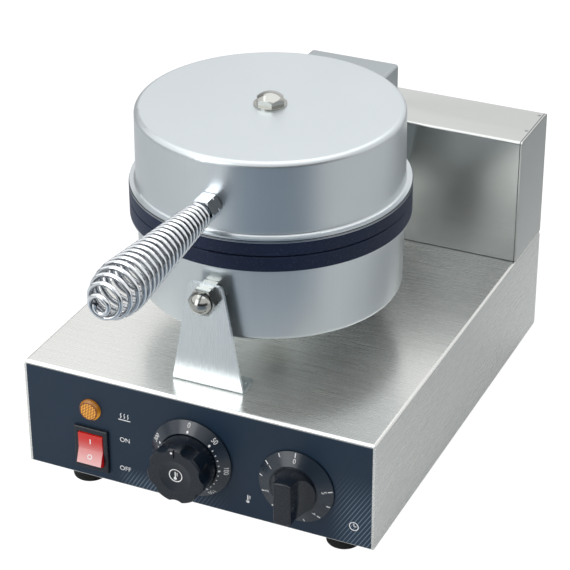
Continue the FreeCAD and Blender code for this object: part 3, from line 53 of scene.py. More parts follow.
MM = 0.001
ORIGIN: Point = (0.0, 0.0, 0.0)
WHITE: Colour = (1.0, 1.0, 1.0, 1.0)
GLOW_OFF: Colour = (0.0, 0.0, 0.0, 1.0)
SIDE = Vector((1.0, 0.0, 0.0))
BACK = Vector((0.0, 1.0, 0.0))
UP = Vector((0.0, 0.0, 1.0))

PANEL_FACE = -109.736
PAN_Y = 8.464
LID_TOP = 254.6

INK_RISE = 0.06
INK_LIFT = 0.02
INK_SPREAD = 0.012
CAPITAL_SHARE = 0.7
# Dark grey for real seams and for painted contact shadows.
SEAM_AND_SHADOW_GREY = "30353A"
MARK_GREY = "5E656A"
RIM_GREY = "3A4048"


class Body(str, Enum):
    """The bodies that pieces ride on."""

    BASE = "base"
    LID = "lid"
    TEMPERATURE = "temperature_dial"
    TIMER = "timer_dial"
    ROCKER = "rocker"


class Slot(str, Enum):
    """The material slots named for new pieces, which are passed along but not used."""

    FILM = "panel_film"
    BLACK = "black_plastic"
    RED = "red_plastic"
    BRIGHT = "bright_steel"


class Grain(Enum):
    """How far a brushed line runs along each axis: a small number is a long run."""

    ALONG_X = (5.0, 1300.0, 1300.0)
    ALONG_Z = (1300.0, 1300.0, 5.0)


def mm(x: float, y: float, z: float) -> Vector:
    """A place in millimetres as a vector in metres."""
    return Vector((x, y, z)) * MM


def paint(code: str) -> Colour:
    """Turn a hex colour as seen on a screen into linear light.

    Args:
        code: six hex digits.

    Returns:
        The colour as red, green, blue and alpha.
    """
    parts = [int(code[i : i + 2], 16) / 255.0 for i in (0, 2, 4)]
    linear = [c / 12.92 if c <= 0.04045 else ((c + 0.055) / 1.055) ** 2.4 for c in parts]
    return (linear[0], linear[1], linear[2], 1.0)


class Sock:
    """A node's output whose operators add Math nodes to its graph."""

    def __init__(self, graph: "Graph", socket: bpy.types.NodeSocket) -> None:
        """Keep the socket and the graph it belongs to."""
        self.graph = graph
        self.socket = socket

    def __add__(self, other: "Sock | float") -> "Sock":
        """Add."""
        return self.graph.maths("ADD", self, other)

    def __radd__(self, other: float) -> "Sock":
        """Add to a number."""
        return self.graph.maths("ADD", other, self)

    def __sub__(self, other: "Sock | float") -> "Sock":
        """Take away."""
        return self.graph.maths("SUBTRACT", self, other)

    def __rsub__(self, other: float) -> "Sock":
        """Take from a number."""
        return self.graph.maths("SUBTRACT", other, self)

    def __mul__(self, other: "Sock | float") -> "Sock":
        """Multiply."""
        return self.graph.maths("MULTIPLY", self, other)

    def __rmul__(self, other: float) -> "Sock":
        """Multiply a number."""
        return self.graph.maths("MULTIPLY", other, self)

    def __truediv__(self, other: "Sock | float") -> "Sock":
        """Divide."""
        return self.graph.maths("DIVIDE", self, other)

    def __abs__(self) -> "Sock":
        """Drop the sign."""
        return self.graph.maths("ABSOLUTE", self)


Value = Sock | float


class Graph:
    """A node tree, filled by expressions."""

    def __init__(self, tree: bpy.types.NodeTree) -> None:
        """Take over a tree and empty it."""
        self.tree = tree
        tree.nodes.clear()

    def node(
        self, kind: str, settings: dict[str, Any] | None = None, inputs: dict[Any, Any] | None = None
    ) -> bpy.types.Node:
        """Add a node.

        Args:
            kind: the node's type.
            settings: its properties, set first.
            inputs: values or links by socket name or number.

        Returns:
            The new node.
        """
        made = self.tree.nodes.new(kind)
        for name, value in (settings or {}).items():
            setattr(made, name, value)
        for key, value in (inputs or {}).items():
            if isinstance(value, Sock):
                self.tree.links.new(value.socket, made.inputs[key])
            else:
                made.inputs[key].default_value = value
        return made

    def out(self, node: bpy.types.Node, key: Any = 0) -> Sock:
        """One output of a node."""
        return Sock(self, node.outputs[key])

    def maths(self, operation: str, *values: Value) -> Sock:
        """A Math node on values."""
        return self.out(self.node("ShaderNodeMath", {"operation": operation}, dict(enumerate(values))))

    def place(self) -> Sock:
        """Object coordinates, which are the machine's own frame."""
        return self.out(self.node("ShaderNodeTexCoord"), "Object")

    def split(self, vector: Sock) -> tuple[Sock, Sock, Sock]:
        """The three parts of a vector."""
        made = self.node("ShaderNodeSeparateXYZ", inputs={0: vector})
        return self.out(made, 0), self.out(made, 1), self.out(made, 2)

    def join(self, x: Value, y: Value, z: Value) -> Sock:
        """A vector from three parts."""
        return self.out(self.node("ShaderNodeCombineXYZ", inputs={0: x, 1: y, 2: z}))

    def noise(self, vector: Sock, scale: float, detail: float = 2.0, roughness: float = 0.5) -> Sock:
        """Soft noise from 0 to 1."""
        inputs = {"Vector": vector, "Scale": scale, "Detail": detail, "Roughness": roughness}
        return self.out(self.node("ShaderNodeTexNoise", inputs=inputs), 0)

    def cells(self, vector: Sock, scale: float) -> Sock:
        """Distance to the nearest of scattered points."""
        return self.out(self.node("ShaderNodeTexVoronoi", inputs={"Vector": vector, "Scale": scale}), 0)

    def smooth(self, value: Sock, low: float, high: float) -> Sock:
        """A soft step from 0 at low to 1 at high."""
        inputs = {"Value": value, "From Min": low, "From Max": high}
        return self.out(self.node("ShaderNodeMapRange", {"interpolation_type": "SMOOTHSTEP"}, inputs))

    def slope(self, value: Sock, low: float, high: float) -> Sock:
        """A soft step between two places in millimetres."""
        return self.smooth(value, low * MM, high * MM)

    def stripe(self, value: Sock, level: float, core: float, edge: float) -> Sock:
        """1 within core of a level and 0 beyond edge of it, in millimetres."""
        return 1.0 - self.slope(abs(value - level * MM), core, edge)

    def sideways(self) -> Sock:
        """1 where a surface faces left or right, else 0."""
        facing = self.split(self.out(self.node("ShaderNodeTexCoord"), "Normal"))
        return self.smooth(abs(facing[0]), 0.5, 0.8)

    def mix(self, factor: Sock, first: Any, second: Any) -> Sock:
        """Blend two colours."""
        made = self.node("ShaderNodeMix", {"data_type": "RGBA"}, {0: factor, 6: first, 7: second})
        return self.out(made, 2)

    def length(self, x: Value, y: Value, z: Value) -> Sock:
        """The length of a vector given by its parts."""
        made = self.node("ShaderNodeVectorMath", {"operation": "LENGTH"}, {0: self.join(x, y, z)})
        return self.out(made, "Value")

    def soft_edges(self, radius: float) -> Sock:
        """A normal that rounds sharp edges."""
        return self.out(self.node("ShaderNodeBevel", {"samples": 4}, {"Radius": radius}))

    def openness(self, distance: float) -> Sock:
        """How open a spot is to its own piece's surroundings: 1 in the open, 0 in a crevice."""
        settings = {"samples": 8, "only_local": True}
        return self.out(self.node("ShaderNodeAmbientOcclusion", settings, {"Distance": distance}), "AO")


@dataclass(frozen=True)
class Finish:
    """A surface: its name, colour, roughness and edge radius in metres, and how it is shaded."""

    name: str
    colour: str
    roughness: float = 0.4
    edge: float = 0.0

    def material(self) -> bpy.types.Material:
        """The finish as a material, made once.

        Returns:
            The new material, or the one that was made before.
        """
        label = f"{self.name}.finish"
        found = bpy.data.materials.get(label)
        if found is not None:
            return found
        made = bpy.data.materials.new(label)
        made.use_nodes = True
        graph = Graph(made.node_tree)
        shader = graph.node("ShaderNodeBsdfPrincipled", inputs=self.shade(graph))
        graph.node("ShaderNodeOutputMaterial", inputs={0: graph.out(shader)})
        return made

    def shade(self, graph: Graph) -> dict[str, Any]:
        """Work out how the surface looks.

        Args:
            graph: the tree to fill.

        Returns:
            Values or links by the shader's socket names.
        """
        raise NotImplementedError

    def relief(self, graph: Graph, height: Sock, strength: float, depth: float) -> Sock:
        """A bump over edges that are softened where the finish says so.

        Args:
            graph: the tree to fill.
            height: the pattern, from 0 to 1.
            strength: how much of the bump counts.
            depth: the pattern's depth in millimetres.

        Returns:
            The normal.
        """
        inputs: dict[Any, Any] = {"Height": height, "Strength": strength, "Distance": depth * MM}
        if self.edge:
            inputs["Normal"] = graph.soft_edges(self.edge)
        return graph.out(graph.node("ShaderNodeBump", inputs=inputs))

    def tones(self, graph: Graph, factor: Sock, spread: float) -> Sock:
        """The colour, made darker and lighter by a pattern.

        Args:
            graph: the tree to fill.
            factor: the pattern, from 0 for dark to 1 for light.
            spread: the share by which the colour changes each way.

        Returns:
            The varied colour.
        """
        base = paint(self.colour)[:3]
        low = tuple(c * (1.0 - spread) for c in base) + (1.0,)
        high = tuple(min(c * (1.0 + spread), 1.0) for c in base) + (1.0,)
        return graph.mix(factor, low, high)

    def uneven(self, pattern: Sock, spread: float) -> Sock:
        """The roughness, varied by a pattern from 0 to 1."""
        return self.roughness + (pattern - 0.5) * spread


@dataclass(frozen=True)
class BrushedSteel(Finish):
    """Stainless sheet with long brushed lines, weld marks, seams and painted contact shadows at some places.
    """

    grain: Grain = Grain.ALONG_X
    contrast: float = 0.12
    metallic: float = 1.0
    depth: float = 0.07
    weld_marks: tuple[Point, ...] = ()
    end_seams: tuple[float, ...] = ()
    low_seams: tuple[float, ...] = ()
    drag: float = 0.0

    def shade(self, graph: Graph) -> dict[str, Any]:
        """Streaks in the colour, the gloss and the relief.

        Args:
            graph: the tree to fill.

        Returns:
            The shader's sockets.
        """
        spot = graph.place()
        x, y, z = graph.split(spot)
        along, across, up = self.grain.value
        sideways = graph.sideways()
        ahead = graph.noise(graph.join(x * along, y * across, z * up), 1.0, 3.0, 0.6)
        endways = graph.noise(graph.join(x * across, y * along, z * across), 1.0, 3.0, 0.6)
        lines = ahead * (1.0 - sideways) + endways * sideways
        clouds = graph.noise(spot, 9.0)
        colour = self.tones(graph, lines * 0.7 + clouds * 0.3, self.contrast)
        height = lines
        for mark_x, mark_y, mark_z in self.weld_marks:
            away = graph.length(x - mark_x * MM, y - mark_y * MM, z - mark_z * MM)
            dent = 1.0 - graph.slope(away, 0.8, 1.9)
            height = height - dent * 2.0
            colour = graph.mix(dent * 0.6, colour, paint(MARK_GREY))
        for level in self.end_seams:
            seam = graph.stripe(abs(x), level, 0.15, 0.4) * (1.0 - sideways)
            colour = graph.mix(seam, colour, paint(SEAM_AND_SHADOW_GREY))
        # Painted contact shadow: a dark line at each of these levels.
        for level in self.low_seams:
            colour = graph.mix(graph.stripe(z, level, 0.2, 0.7), colour, paint(SEAM_AND_SHADOW_GREY))
        return {
            "Base Color": colour,
            "Metallic": self.metallic,
            "Roughness": self.uneven(lines, 0.1) + (clouds - 0.5) * 0.05,
            "Anisotropic": self.drag,
            "Anisotropic Rotation": 0.25,
            "Normal": self.relief(graph, height, self.depth, 0.03),
        }


@dataclass(frozen=True)
class SpunAluminium(Finish):
    """Satin aluminium, spun round the pan's axis, with faint upright lines on its wall."""

    top: float = 1000.0
    seams: tuple[float, ...] = ()

    def shade(self, graph: Graph) -> dict[str, Any]:
        """Fine lines that follow the wall, an even satin on top, and dark seams at some levels.

        Args:
            graph: the tree to fill.

        Returns:
            The shader's sockets.
        """
        spot = graph.place()
        x, y, z = graph.split(spot)
        angle = graph.maths("ARCTAN2", y - PAN_Y * MM, x)
        wall = graph.noise(graph.join(angle * 110.0, z * 9.0, 0.0), 1.0, 3.0, 0.6)
        satin = graph.noise(spot, 1400.0)
        clouds = graph.noise(spot, 14.0, 3.0)
        on_top = graph.slope(z, self.top - 3.2, self.top - 1.2)
        grain = wall * (1.0 - on_top) + satin * on_top
        colour = self.tones(graph, grain * 0.6 + clouds * 0.4, 0.06)
        for level in self.seams:
            colour = graph.mix(graph.stripe(z, level, 0.08, 0.26), colour, paint(RIM_GREY))
        return {
            "Base Color": colour,
            "Metallic": 1.0,
            "Roughness": self.uneven(grain, 0.12) + (clouds - 0.5) * 0.05 + on_top * 0.08,
            "Normal": self.relief(graph, grain, 0.07, 0.03),
        }


@dataclass(frozen=True)
class CoatedPlate(Finish):
    """Cast plate under a dark speckled baking coat."""

    speck: str = "5A6684"

    def shade(self, graph: Graph) -> dict[str, Any]:
        """Sparse bright specks in a dark satin coat over a cast grain.

        Args:
            graph: the tree to fill.

        Returns:
            The shader's sockets.
        """
        spot = graph.place()
        grain = graph.noise(spot, 700.0, 3.0)
        clouds = graph.noise(spot, 40.0)
        specks = 1.0 - graph.smooth(graph.cells(spot, 620.0), 0.1, 0.26)
        return {
            "Base Color": graph.mix(specks * 0.35, self.tones(graph, clouds, 0.25), paint(self.speck)),
            "Roughness": self.uneven(grain, 0.2),
            "Specular IOR Level": 0.28,
            "Normal": self.relief(graph, grain + specks * 0.4, 0.2, 0.05),
        }


@dataclass(frozen=True)
class PolishedSteel(Finish):
    """Bright plated steel with faint handling marks, darkened by painted shade where it is closed in."""

    tarnish: str = "2A313A"
    crevice: float = 22.0

    def shade(self, graph: Graph) -> dict[str, Any]:
        """Mirror gloss with smudges, fine polishing lines and crevices darkened by painted shade.

        Args:
            graph: the tree to fill.

        Returns:
            The shader's sockets.
        """
        spot = graph.place()
        smudge = graph.noise(spot, 120.0, 3.0)
        lines = graph.noise(spot, 2600.0)
        # Painted shade: the colour turns dark where the piece closes in on itself.
        clear = graph.smooth(graph.openness(self.crevice * MM), 0.4, 0.88)
        return {
            "Base Color": graph.mix(clear, paint(self.tarnish), self.tones(graph, smudge, 0.04)),
            "Metallic": 1.0,
            "Roughness": self.uneven(smudge, 0.06),
            "Normal": self.relief(graph, lines, 0.03, 0.01),
        }


@dataclass(frozen=True)
class Grained(Finish):
    """One random pattern in the colour, the gloss and the relief; as it comes, dull plated steel."""

    metallic: float = 1.0
    scale: float = 260.0
    detail: float = 4.0
    fineness: float = 0.6
    mottle: float = 0.18
    sheen: float = 0.2
    strength: float = 0.1
    depth: float = 0.04

    def shade(self, graph: Graph) -> dict[str, Any]:
        """Crystals, print noise or fibres, by the pattern's scale and depth.

        Args:
            graph: the tree to fill.

        Returns:
            The shader's sockets.
        """
        grain = graph.noise(graph.place(), self.scale, self.detail, self.fineness)
        return {
            "Base Color": self.tones(graph, grain, self.mottle),
            "Metallic": self.metallic,
            "Roughness": self.uneven(grain, self.sheen),
            "Normal": self.relief(graph, grain, self.strength, self.depth),
        }


@dataclass(frozen=True)
class MouldedPlastic(Finish):
    """Moulded plastic or rubber with a fine spark texture."""

    texture: float = 0.12
    coat: float = 0.0
    specular: float = 0.5

    def shade(self, graph: Graph) -> dict[str, Any]:
        """A fine grain, a little uneven in gloss.

        Args:
            graph: the tree to fill.

        Returns:
            The shader's sockets.
        """
        spot = graph.place()
        grain = graph.noise(spot, 1700.0)
        clouds = graph.noise(spot, 60.0)
        return {
            "Base Color": self.tones(graph, clouds, 0.15),
            "Roughness": self.uneven(clouds, 0.1) + (grain - 0.5) * 0.1,
            "Specular IOR Level": self.specular,
            "Coat Weight": self.coat,
            "Coat Roughness": 0.2,
            "Normal": self.relief(graph, grain, self.texture, 0.05),
        }


@dataclass(frozen=True)
class PanelFilm(Finish):
    """Dark satin panel film with two slanted bands of fine pale lines."""

    line: str = "8FA3B4"
    band: str = "2A3D50"
    pitch: float = 2.3
    slant: float = math.radians(58.0)

    def shade(self, graph: Graph) -> dict[str, Any]:
        """Fine print noise, and the hairlines inside the bands.

        Args:
            graph: the tree to fill.

        Returns:
            The shader's sockets.
        """
        spot = graph.place()
        x, _, z = graph.split(spot)
        across = x * math.sin(self.slant) - z * math.cos(self.slant)
        grain = graph.noise(spot, 1500.0)
        clouds = graph.noise(spot, 16.0)
        half = self.pitch * MM * 0.5
        hair = 1.0 - graph.smooth(graph.maths("PINGPONG", across, half) / half, 0.10, 0.34)
        right = graph.slope(x, 92.0, 112.0) * (1.0 - graph.slope(z, 40.0, 74.0))
        left = graph.slope(x, -60.0, -44.0) * (1.0 - graph.slope(x, -24.0, 30.0))
        low = 1.0 - graph.slope(z, 22.0, 34.0)
        inside = graph.maths("MAXIMUM", right, left * low)
        ground = graph.mix(inside * 0.6, self.tones(graph, clouds, 0.12), paint(self.band))
        return {
            "Base Color": graph.mix(inside * hair * 0.55, ground, paint(self.line)),
            "Roughness": self.uneven(grain, 0.16),
            "Specular IOR Level": 0.4,
            "Normal": self.relief(graph, grain, 0.1, 0.04),
        }


@dataclass(frozen=True)
class RockerPlastic(Finish):
    """Translucent red moulding, painted paler towards its raised lower half as a reflection, with a faint
    painted glow.
    """

    # The pale colour is a painted reflection.
    pale: str = "F6D8D6"
    side: str = "D40710"
    middle: float = 41.0

    def shade(self, graph: Graph) -> dict[str, Any]:
        """Red above, paler below by a painted reflection, deep red at the sides, with a faint painted glow,
        under a clear gloss.

        Args:
            graph: the tree to fill.

        Returns:
            The shader's sockets.
        """
        spot = graph.place()
        _, _, z = graph.split(spot)
        clouds = graph.noise(spot, 300.0)
        # Painted reflection: the lower half turns towards the pale colour.
        painted_reflection = 1.0 - graph.slope(z, self.middle - 12.0, self.middle + 9.0)
        front = graph.mix(painted_reflection * 0.7, self.tones(graph, clouds, 0.06), paint(self.pale))
        colour = graph.mix(graph.sideways(), front, paint(self.side))
        return {
            "Base Color": colour,
            # Painted glow: the moulding shines with its own colour.
            "Emission Color": colour,
            "Emission Strength": 0.15,
            "Roughness": self.uneven(clouds, 0.05),
            "Coat Weight": 0.5,
            "Coat Roughness": 0.08,
            "Normal": self.relief(graph, clouds, 0.03, 0.02),
        }


@dataclass(frozen=True)
class AmberLens(Finish):
    """Lit amber lens with a grid of small prisms on its face."""

    deep: str = "7A3204"
    glow: str = "F09A18"
    pitch: float = 1.2
    x: float = -76.0
    z: float = 71.0

    def shade(self, graph: Graph) -> dict[str, Any]:
        """Bright facets and dark seams on a square grid, inside a dark ring and a clear rim.

        Args:
            graph: the tree to fill.

        Returns:
            The shader's sockets.
        """
        spot = graph.place()
        x, _, z = graph.split(spot)
        half = self.pitch * MM * 0.5
        cell = graph.maths("PINGPONG", x, half) * graph.maths("PINGPONG", z, half) / (half * half)
        away = graph.length(x - self.x * MM, 0.0, z - self.z * MM)
        rim = graph.slope(away, 6.3, 6.7)
        ring = graph.slope(away, 5.6, 6.0) * (1.0 - rim)
        facets = graph.smooth(cell, 0.06, 0.55) * (1.0 - ring) * (1.0 - rim)
        under = 1.0 - graph.slope(z, self.z - 5.0, self.z + 3.0)
        bright = graph.maths("MAXIMUM", facets, rim * (0.2 + under * 0.5))
        clouds = graph.noise(spot, 500.0)
        return {
            "Base Color": graph.mix(bright, paint(self.deep), paint(self.colour)),
            "Roughness": self.uneven(clouds, 0.1),
            "Coat Weight": 0.5,
            "Coat Roughness": 0.06,
            "Emission Color": graph.mix(bright, GLOW_OFF, paint(self.glow)),
            "Emission Strength": 0.7,
            "Normal": self.relief(graph, facets, 0.5, 0.2),
        }


STEEL_TOP = BrushedSteel("brushed_sheet", "E6E7E4", 0.27, contrast=0.09, metallic=0.8)
STEEL_BOX = BrushedSteel(
    "rear_box_sheet",
    "CACCCA",
    0.22,
    contrast=0.08,
    weld_marks=((121.4, 170.0, 190.0), (121.4, 198.0, 190.0)),
    end_seams=(123.7,),
    # A painted contact shadow where the rear box meets the base top.
    low_seams=(96.4,),
    drag=0.85,
)
STEEL_UPRIGHT = BrushedSteel("hinge_sheet", "AAB1B4", 0.34, 0.0003, Grain.ALONG_Z, contrast=0.08)
STEEL_BRACKET = BrushedSteel(
    "bracket_sheet", "D4DADD", 0.28, 0.0002, Grain.ALONG_Z, contrast=0.02, depth=0.03
)
LID_SATIN = SpunAluminium("lid_satin", "CBD1D4", 0.32, top=LID_TOP)
RIM_SATIN = SpunAluminium("rim_satin", "B4BBC0", 0.30, seams=(202.85, 203.5))
PAN_SATIN = SpunAluminium("pan_satin", "CBD1D4", 0.32)
PLATE_COAT = CoatedPlate("plate_coat", "111F3A", 0.5)
CHROME = PolishedSteel("bright_steel", "E2E6EA", 0.06, 0.00015)
NUT_STEEL = PolishedSteel("nut_steel", "ABACA8", 0.08, 0.00015)
ZINC = Grained("zinc_steel", "B9BBB8", 0.36)
ELEMENT = Grained("element_steel", "5B5753", 0.55)
COPPER = Grained("copper_bulb", "C98A62", 0.34)
WHITE_INK = Grained(
    "white_ink",
    "FFFFFF",
    0.5,
    metallic=0.0,
    scale=2200.0,
    detail=2.0,
    fineness=0.5,
    mottle=0.06,
    sheen=0.15,
    strength=0.05,
    depth=0.02,
)
WOOL = Grained(
    "ceramic_wool",
    "E8E4DA",
    0.95,
    metallic=0.0,
    scale=420.0,
    detail=6.0,
    fineness=0.7,
    mottle=0.2,
    sheen=0.0,
    strength=0.6,
    depth=0.4,
)
FILM = PanelFilm("panel_film", "152B40", 0.42)
BLACK = MouldedPlastic("black_plastic", "121B26", 0.28, 0.0008, texture=0.08, coat=0.6, specular=0.2)
SCALE_BLACK = MouldedPlastic("scale_plastic", "1D2936", 0.26, 0.0003, coat=0.8, specular=0.25)
RUBBER = MouldedPlastic("foot_rubber", "121315", 0.75, 0.0004, texture=0.3)
ROCKER_RED = RockerPlastic("rocker_red", "CC2119", 0.25, 0.0003)
AMBER = AmberLens("amber_lens", "FFC23A", 0.18, 0.0003)


def alone(thing: Thing) -> None:
    """Make an object the only one selected.

    Args:
        thing: the object.
    """
    bpy.ops.object.select_all(action="DESELECT")
    thing.select_set(True)
    bpy.context.view_layer.objects.active = thing


@contextmanager
def editing(thing: Thing) -> Iterator[None]:
    """Edit mode on one object, with all of it selected.

    Args:
        thing: the object.

    Returns:
        A context that ends in object mode.
    """
    alone(thing)
    bpy.ops.object.mode_set(mode="EDIT")
    bpy.ops.mesh.select_all(action="SELECT")
    yield
    bpy.ops.object.mode_set(mode="OBJECT")


def modify(thing: Thing, kind: str, **settings: Any) -> None:
    """Add a modifier and apply it.

    Args:
        thing: the object.
        kind: the modifier's type.
        **settings: the modifier's properties.
    """
    alone(thing)
    made = thing.modifiers.new(kind.lower(), kind)
    for name, value in settings.items():
        setattr(made, name, value)
    bpy.ops.object.modifier_apply(modifier=made.name)


def soften(thing: Thing, width: float, segments: int, degrees: float) -> None:
    """Bevel the edges that are sharper than an angle."""
    limit = math.radians(degrees)
    modify(thing, "BEVEL", width=width, segments=segments, limit_method="ANGLE", angle_limit=limit)


def carve(thing: Thing, tool: Thing, operation: str) -> None:
    """Cut one solid by another, which is used up."""
    modify(thing, "BOOLEAN", operation=operation, object=tool, solver="EXACT")
    bpy.data.objects.remove(tool)


def settle(thing: Thing) -> None:
    """Put an object's own place, turn and size into its mesh."""
    alone(thing)
    bpy.ops.object.transform_apply(location=True, rotation=True, scale=True)


def shift(thing: Thing, matrix: Matrix) -> None:
    """Settle an object and then move its mesh.

    Args:
        thing: the object.
        matrix: the move.
    """
    settle(thing)
    thing.data.transform(matrix)
    thing.data.update()


def seat(thing: Thing, at: Sequence[float], axis: Vector) -> None:
    """Stand a piece that was modelled upright in millimetres on its seat, in metres."""
    stand = Matrix((SIDE, axis.cross(SIDE), axis)).transposed().to_4x4()
    shift(thing, Matrix.Scale(MM, 4) @ Matrix.Translation(Vector(at)) @ stand)


def cylinder(sides: int, radius: float, length: float, start: float = 0.0) -> Thing:
    """An upright bar in millimetres, with a corner on the X axis.

    Args:
        sides: how many sides it has.
        radius: from its axis to its corners.
        length: from end to end.
        start: the level of its lower end.

    Returns:
        The bar.
    """
    bpy.ops.object.select_all(action="DESELECT")
    middle = (0.0, 0.0, start + length * 0.5)
    bpy.ops.mesh.primitive_cylinder_add(vertices=sides, radius=radius, depth=length, location=middle)
    thing = bpy.context.active_object
    first = thing.data.vertices[0].co
    shift(thing, Matrix.Rotation(-math.atan2(first.y, first.x), 4, "Z"))
    return thing


def sphere(segments: int, rings: int, radius: float) -> Thing:
    """A ball about the origin.

    Args:
        segments: how many parts it has round its axis.
        rings: how many parts it has along its axis.
        radius: its radius.

    Returns:
        The ball.
    """
    bpy.ops.object.select_all(action="DESELECT")
    bpy.ops.mesh.primitive_uv_sphere_add(segments=segments, ring_count=rings, radius=radius, location=ORIGIN)
    return bpy.context.active_object


def merge(things: Sequence[Thing], name: str) -> Thing:
    """Join objects into one.

    Args:
        things: the objects; the first takes in the others.
        name: the whole's name.

    Returns:
        The whole.
    """
    whole = things[0]
    alone(whole)
    for thing in things:
        thing.select_set(True)
    if len(things) > 1:
        bpy.ops.object.join()
    whole.name = name
    whole.data.name = name
    return whole


def outward(thing: Thing) -> None:
    """Merge doubles and turn every face outwards.

    Args:
        thing: the object.
    """
    with editing(thing):
        bpy.ops.mesh.remove_doubles(threshold=1e-6)
        bpy.ops.mesh.normals_make_consistent(inside=False)


def shade_smooth(thing: Thing, degrees: float) -> None:
    """Smooth shading, with sharp edges kept past an angle."""
    alone(thing)
    bpy.ops.object.shade_smooth_by_angle(angle=math.radians(degrees))


def hand_in(thing: Thing, body: Body, slot: Slot, finish: Finish, *nodes: str) -> None:
    """Give a piece its finish and its place in the machine.

    Args:
        thing: the piece.
        body: what it moves with.
        slot: its material slot; not used.
        finish: its surface.
        *nodes: the solids that it stands for.
    """
    thing.data.materials.clear()
    thing.data.materials.append(finish.material())
    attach(thing, body.value)
    if nodes:
        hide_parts(*nodes)
    log.info("piece %s on %s", thing.name, body.value)


def dress(finish: Finish, *nodes: str) -> None:
    """Give solids a finish.

    Args:
        finish: the surface.
        *nodes: the solids' names.
    """
    made = finish.material()
    for name in nodes:
        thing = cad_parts[name]
        if not thing.material_slots:
            thing.data.materials.append(made)
        for slot in thing.material_slots:
            slot.material = made
        log.info("solid %s in %s", name, finish.name)


@dataclass
class Face:
    """A flat surface that faces forwards, by its middle, for marks to lie on."""

    x: float
    y: float
    z: float

    def height(self, u: float, v: float) -> float:
        """How far the surface stands out at a point."""
        return 0.0

    def lay(self, u: float, v: float, rise: float) -> Vector:
        """A mark's point on the surface, raised a little."""
        return mm(self.x + u, self.y - self.height(u, v) - rise, self.z + v)


@dataclass
class RingFace(Face):
    """The face of a scale ring: a cone that falls to its rim."""

    radius: float
    reach: float
    lip: float
    bevel: float

    def height(self, u: float, v: float) -> float:
        """The cone's height at a point."""
        share = (math.hypot(u, v) - (self.radius - self.bevel)) / self.bevel
        return self.reach - (self.reach - self.lip) * min(max(share, 0.0), 1.0)


@dataclass
class DishFace(Face):
    """A round dish, hollowed out of a flat face."""

    radius: float
    depth: float

    def height(self, u: float, v: float) -> float:
        """The dish's height at a point, which is below the flat face."""
        curve = (self.radius**2 / self.depth + self.depth) * 0.5
        return curve - self.depth - math.sqrt(curve**2 - u * u - v * v)


@dataclass
class TiltFace(Face):
    """A flat surface that leans out below its middle line."""

    tilt: float

    def lay(self, u: float, v: float, rise: float) -> Vector:
        """A mark's point on the leaning surface.

        Args:
            u: the distance to the right.
            v: the distance upwards, along the surface.
            rise: the distance off the surface.

        Returns:
            The point in metres.
        """
        sine = math.sin(self.tilt)
        cosine = math.cos(self.tilt)
        return mm(self.x + u, self.y + sine * v - cosine * rise, self.z + cosine * v + sine * rise)


@dataclass
class InkSheet:
    """Flat white marks drawn in millimetres, then laid on a face."""

    name: str
    face: Face
    shapes: list[Thing] = field(default_factory=list)

    def keep(self, at: Place, turn: float = 0.0) -> None:
        """Keep the shape just made.

        Args:
            at: where it goes.
            turn: its turn in radians.
        """
        thing = bpy.context.active_object
        shift(thing, Matrix.Translation((*at, 0.0)) @ Matrix.Rotation(turn, 4, "Z"))
        self.shapes.append(thing)

    def words(self, text: str, at: Place, height: float, turn: float = 0.0) -> None:
        """Plain letters or numbers.

        Args:
            text: what to print.
            at: the middle of the print.
            height: how tall a capital is.
            turn: the print's turn in radians.
        """
        bpy.ops.object.text_add(location=ORIGIN)
        thing = bpy.context.active_object
        thing.data.body = text
        thing.data.size = height / CAPITAL_SHARE
        thing.data.align_x = "CENTER"
        thing.data.align_y = "CENTER"
        thing.data.offset = INK_SPREAD
        alone(thing)
        bpy.ops.object.convert(target="MESH")
        self.keep(at, turn)

    def bar(self, start: Place, end: Place, width: float) -> None:
        """A straight stroke.

        Args:
            start: the middle of one end.
            end: the middle of the other end.
            width: how wide the stroke is.
        """
        run = Vector(end) - Vector(start)
        bpy.ops.mesh.primitive_plane_add(size=1.0, location=ORIGIN)
        thing = bpy.context.active_object
        thing.scale = (run.length, width, 1.0)
        with editing(thing):
            bpy.ops.mesh.subdivide(number_cuts=5)
        middle = (Vector(start) + Vector(end)) * 0.5
        self.keep((middle.x, middle.y), math.atan2(run.y, run.x))

    def disc(self, at: Place, radius: float) -> None:
        """A filled dot."""
        bpy.ops.mesh.primitive_circle_add(vertices=24, radius=radius, fill_type="NGON", location=ORIGIN)
        self.keep(at)

    def ring(self, at: Place, radius: float, width: float) -> None:
        """A circle of some width.

        Args:
            at: its middle.
            radius: its outer radius.
            width: the width of its line.
        """
        bpy.ops.mesh.primitive_circle_add(vertices=40, radius=radius, fill_type="NGON", location=ORIGIN)
        with editing(bpy.context.active_object):
            bpy.ops.mesh.inset(thickness=width)
            bpy.ops.mesh.delete(type="FACE")
        self.keep(at)

    def finish(self, body: Body, slot: Slot) -> None:
        """Join the marks, give them their thickness and lay them on their face.

        Args:
            body: what the marks move with.
            slot: the material slot of what they are printed on.
        """
        thing = merge(self.shapes, self.name)
        modify(thing, "SOLIDIFY", thickness=INK_RISE, offset=1.0)
        for vertex in thing.data.vertices:
            vertex.co = self.face.lay(vertex.co.x, vertex.co.y, vertex.co.z + INK_LIFT)
        with editing(thing):
            bpy.ops.mesh.normals_make_consistent(inside=False)
        hand_in(thing, body, slot, WHITE_INK)


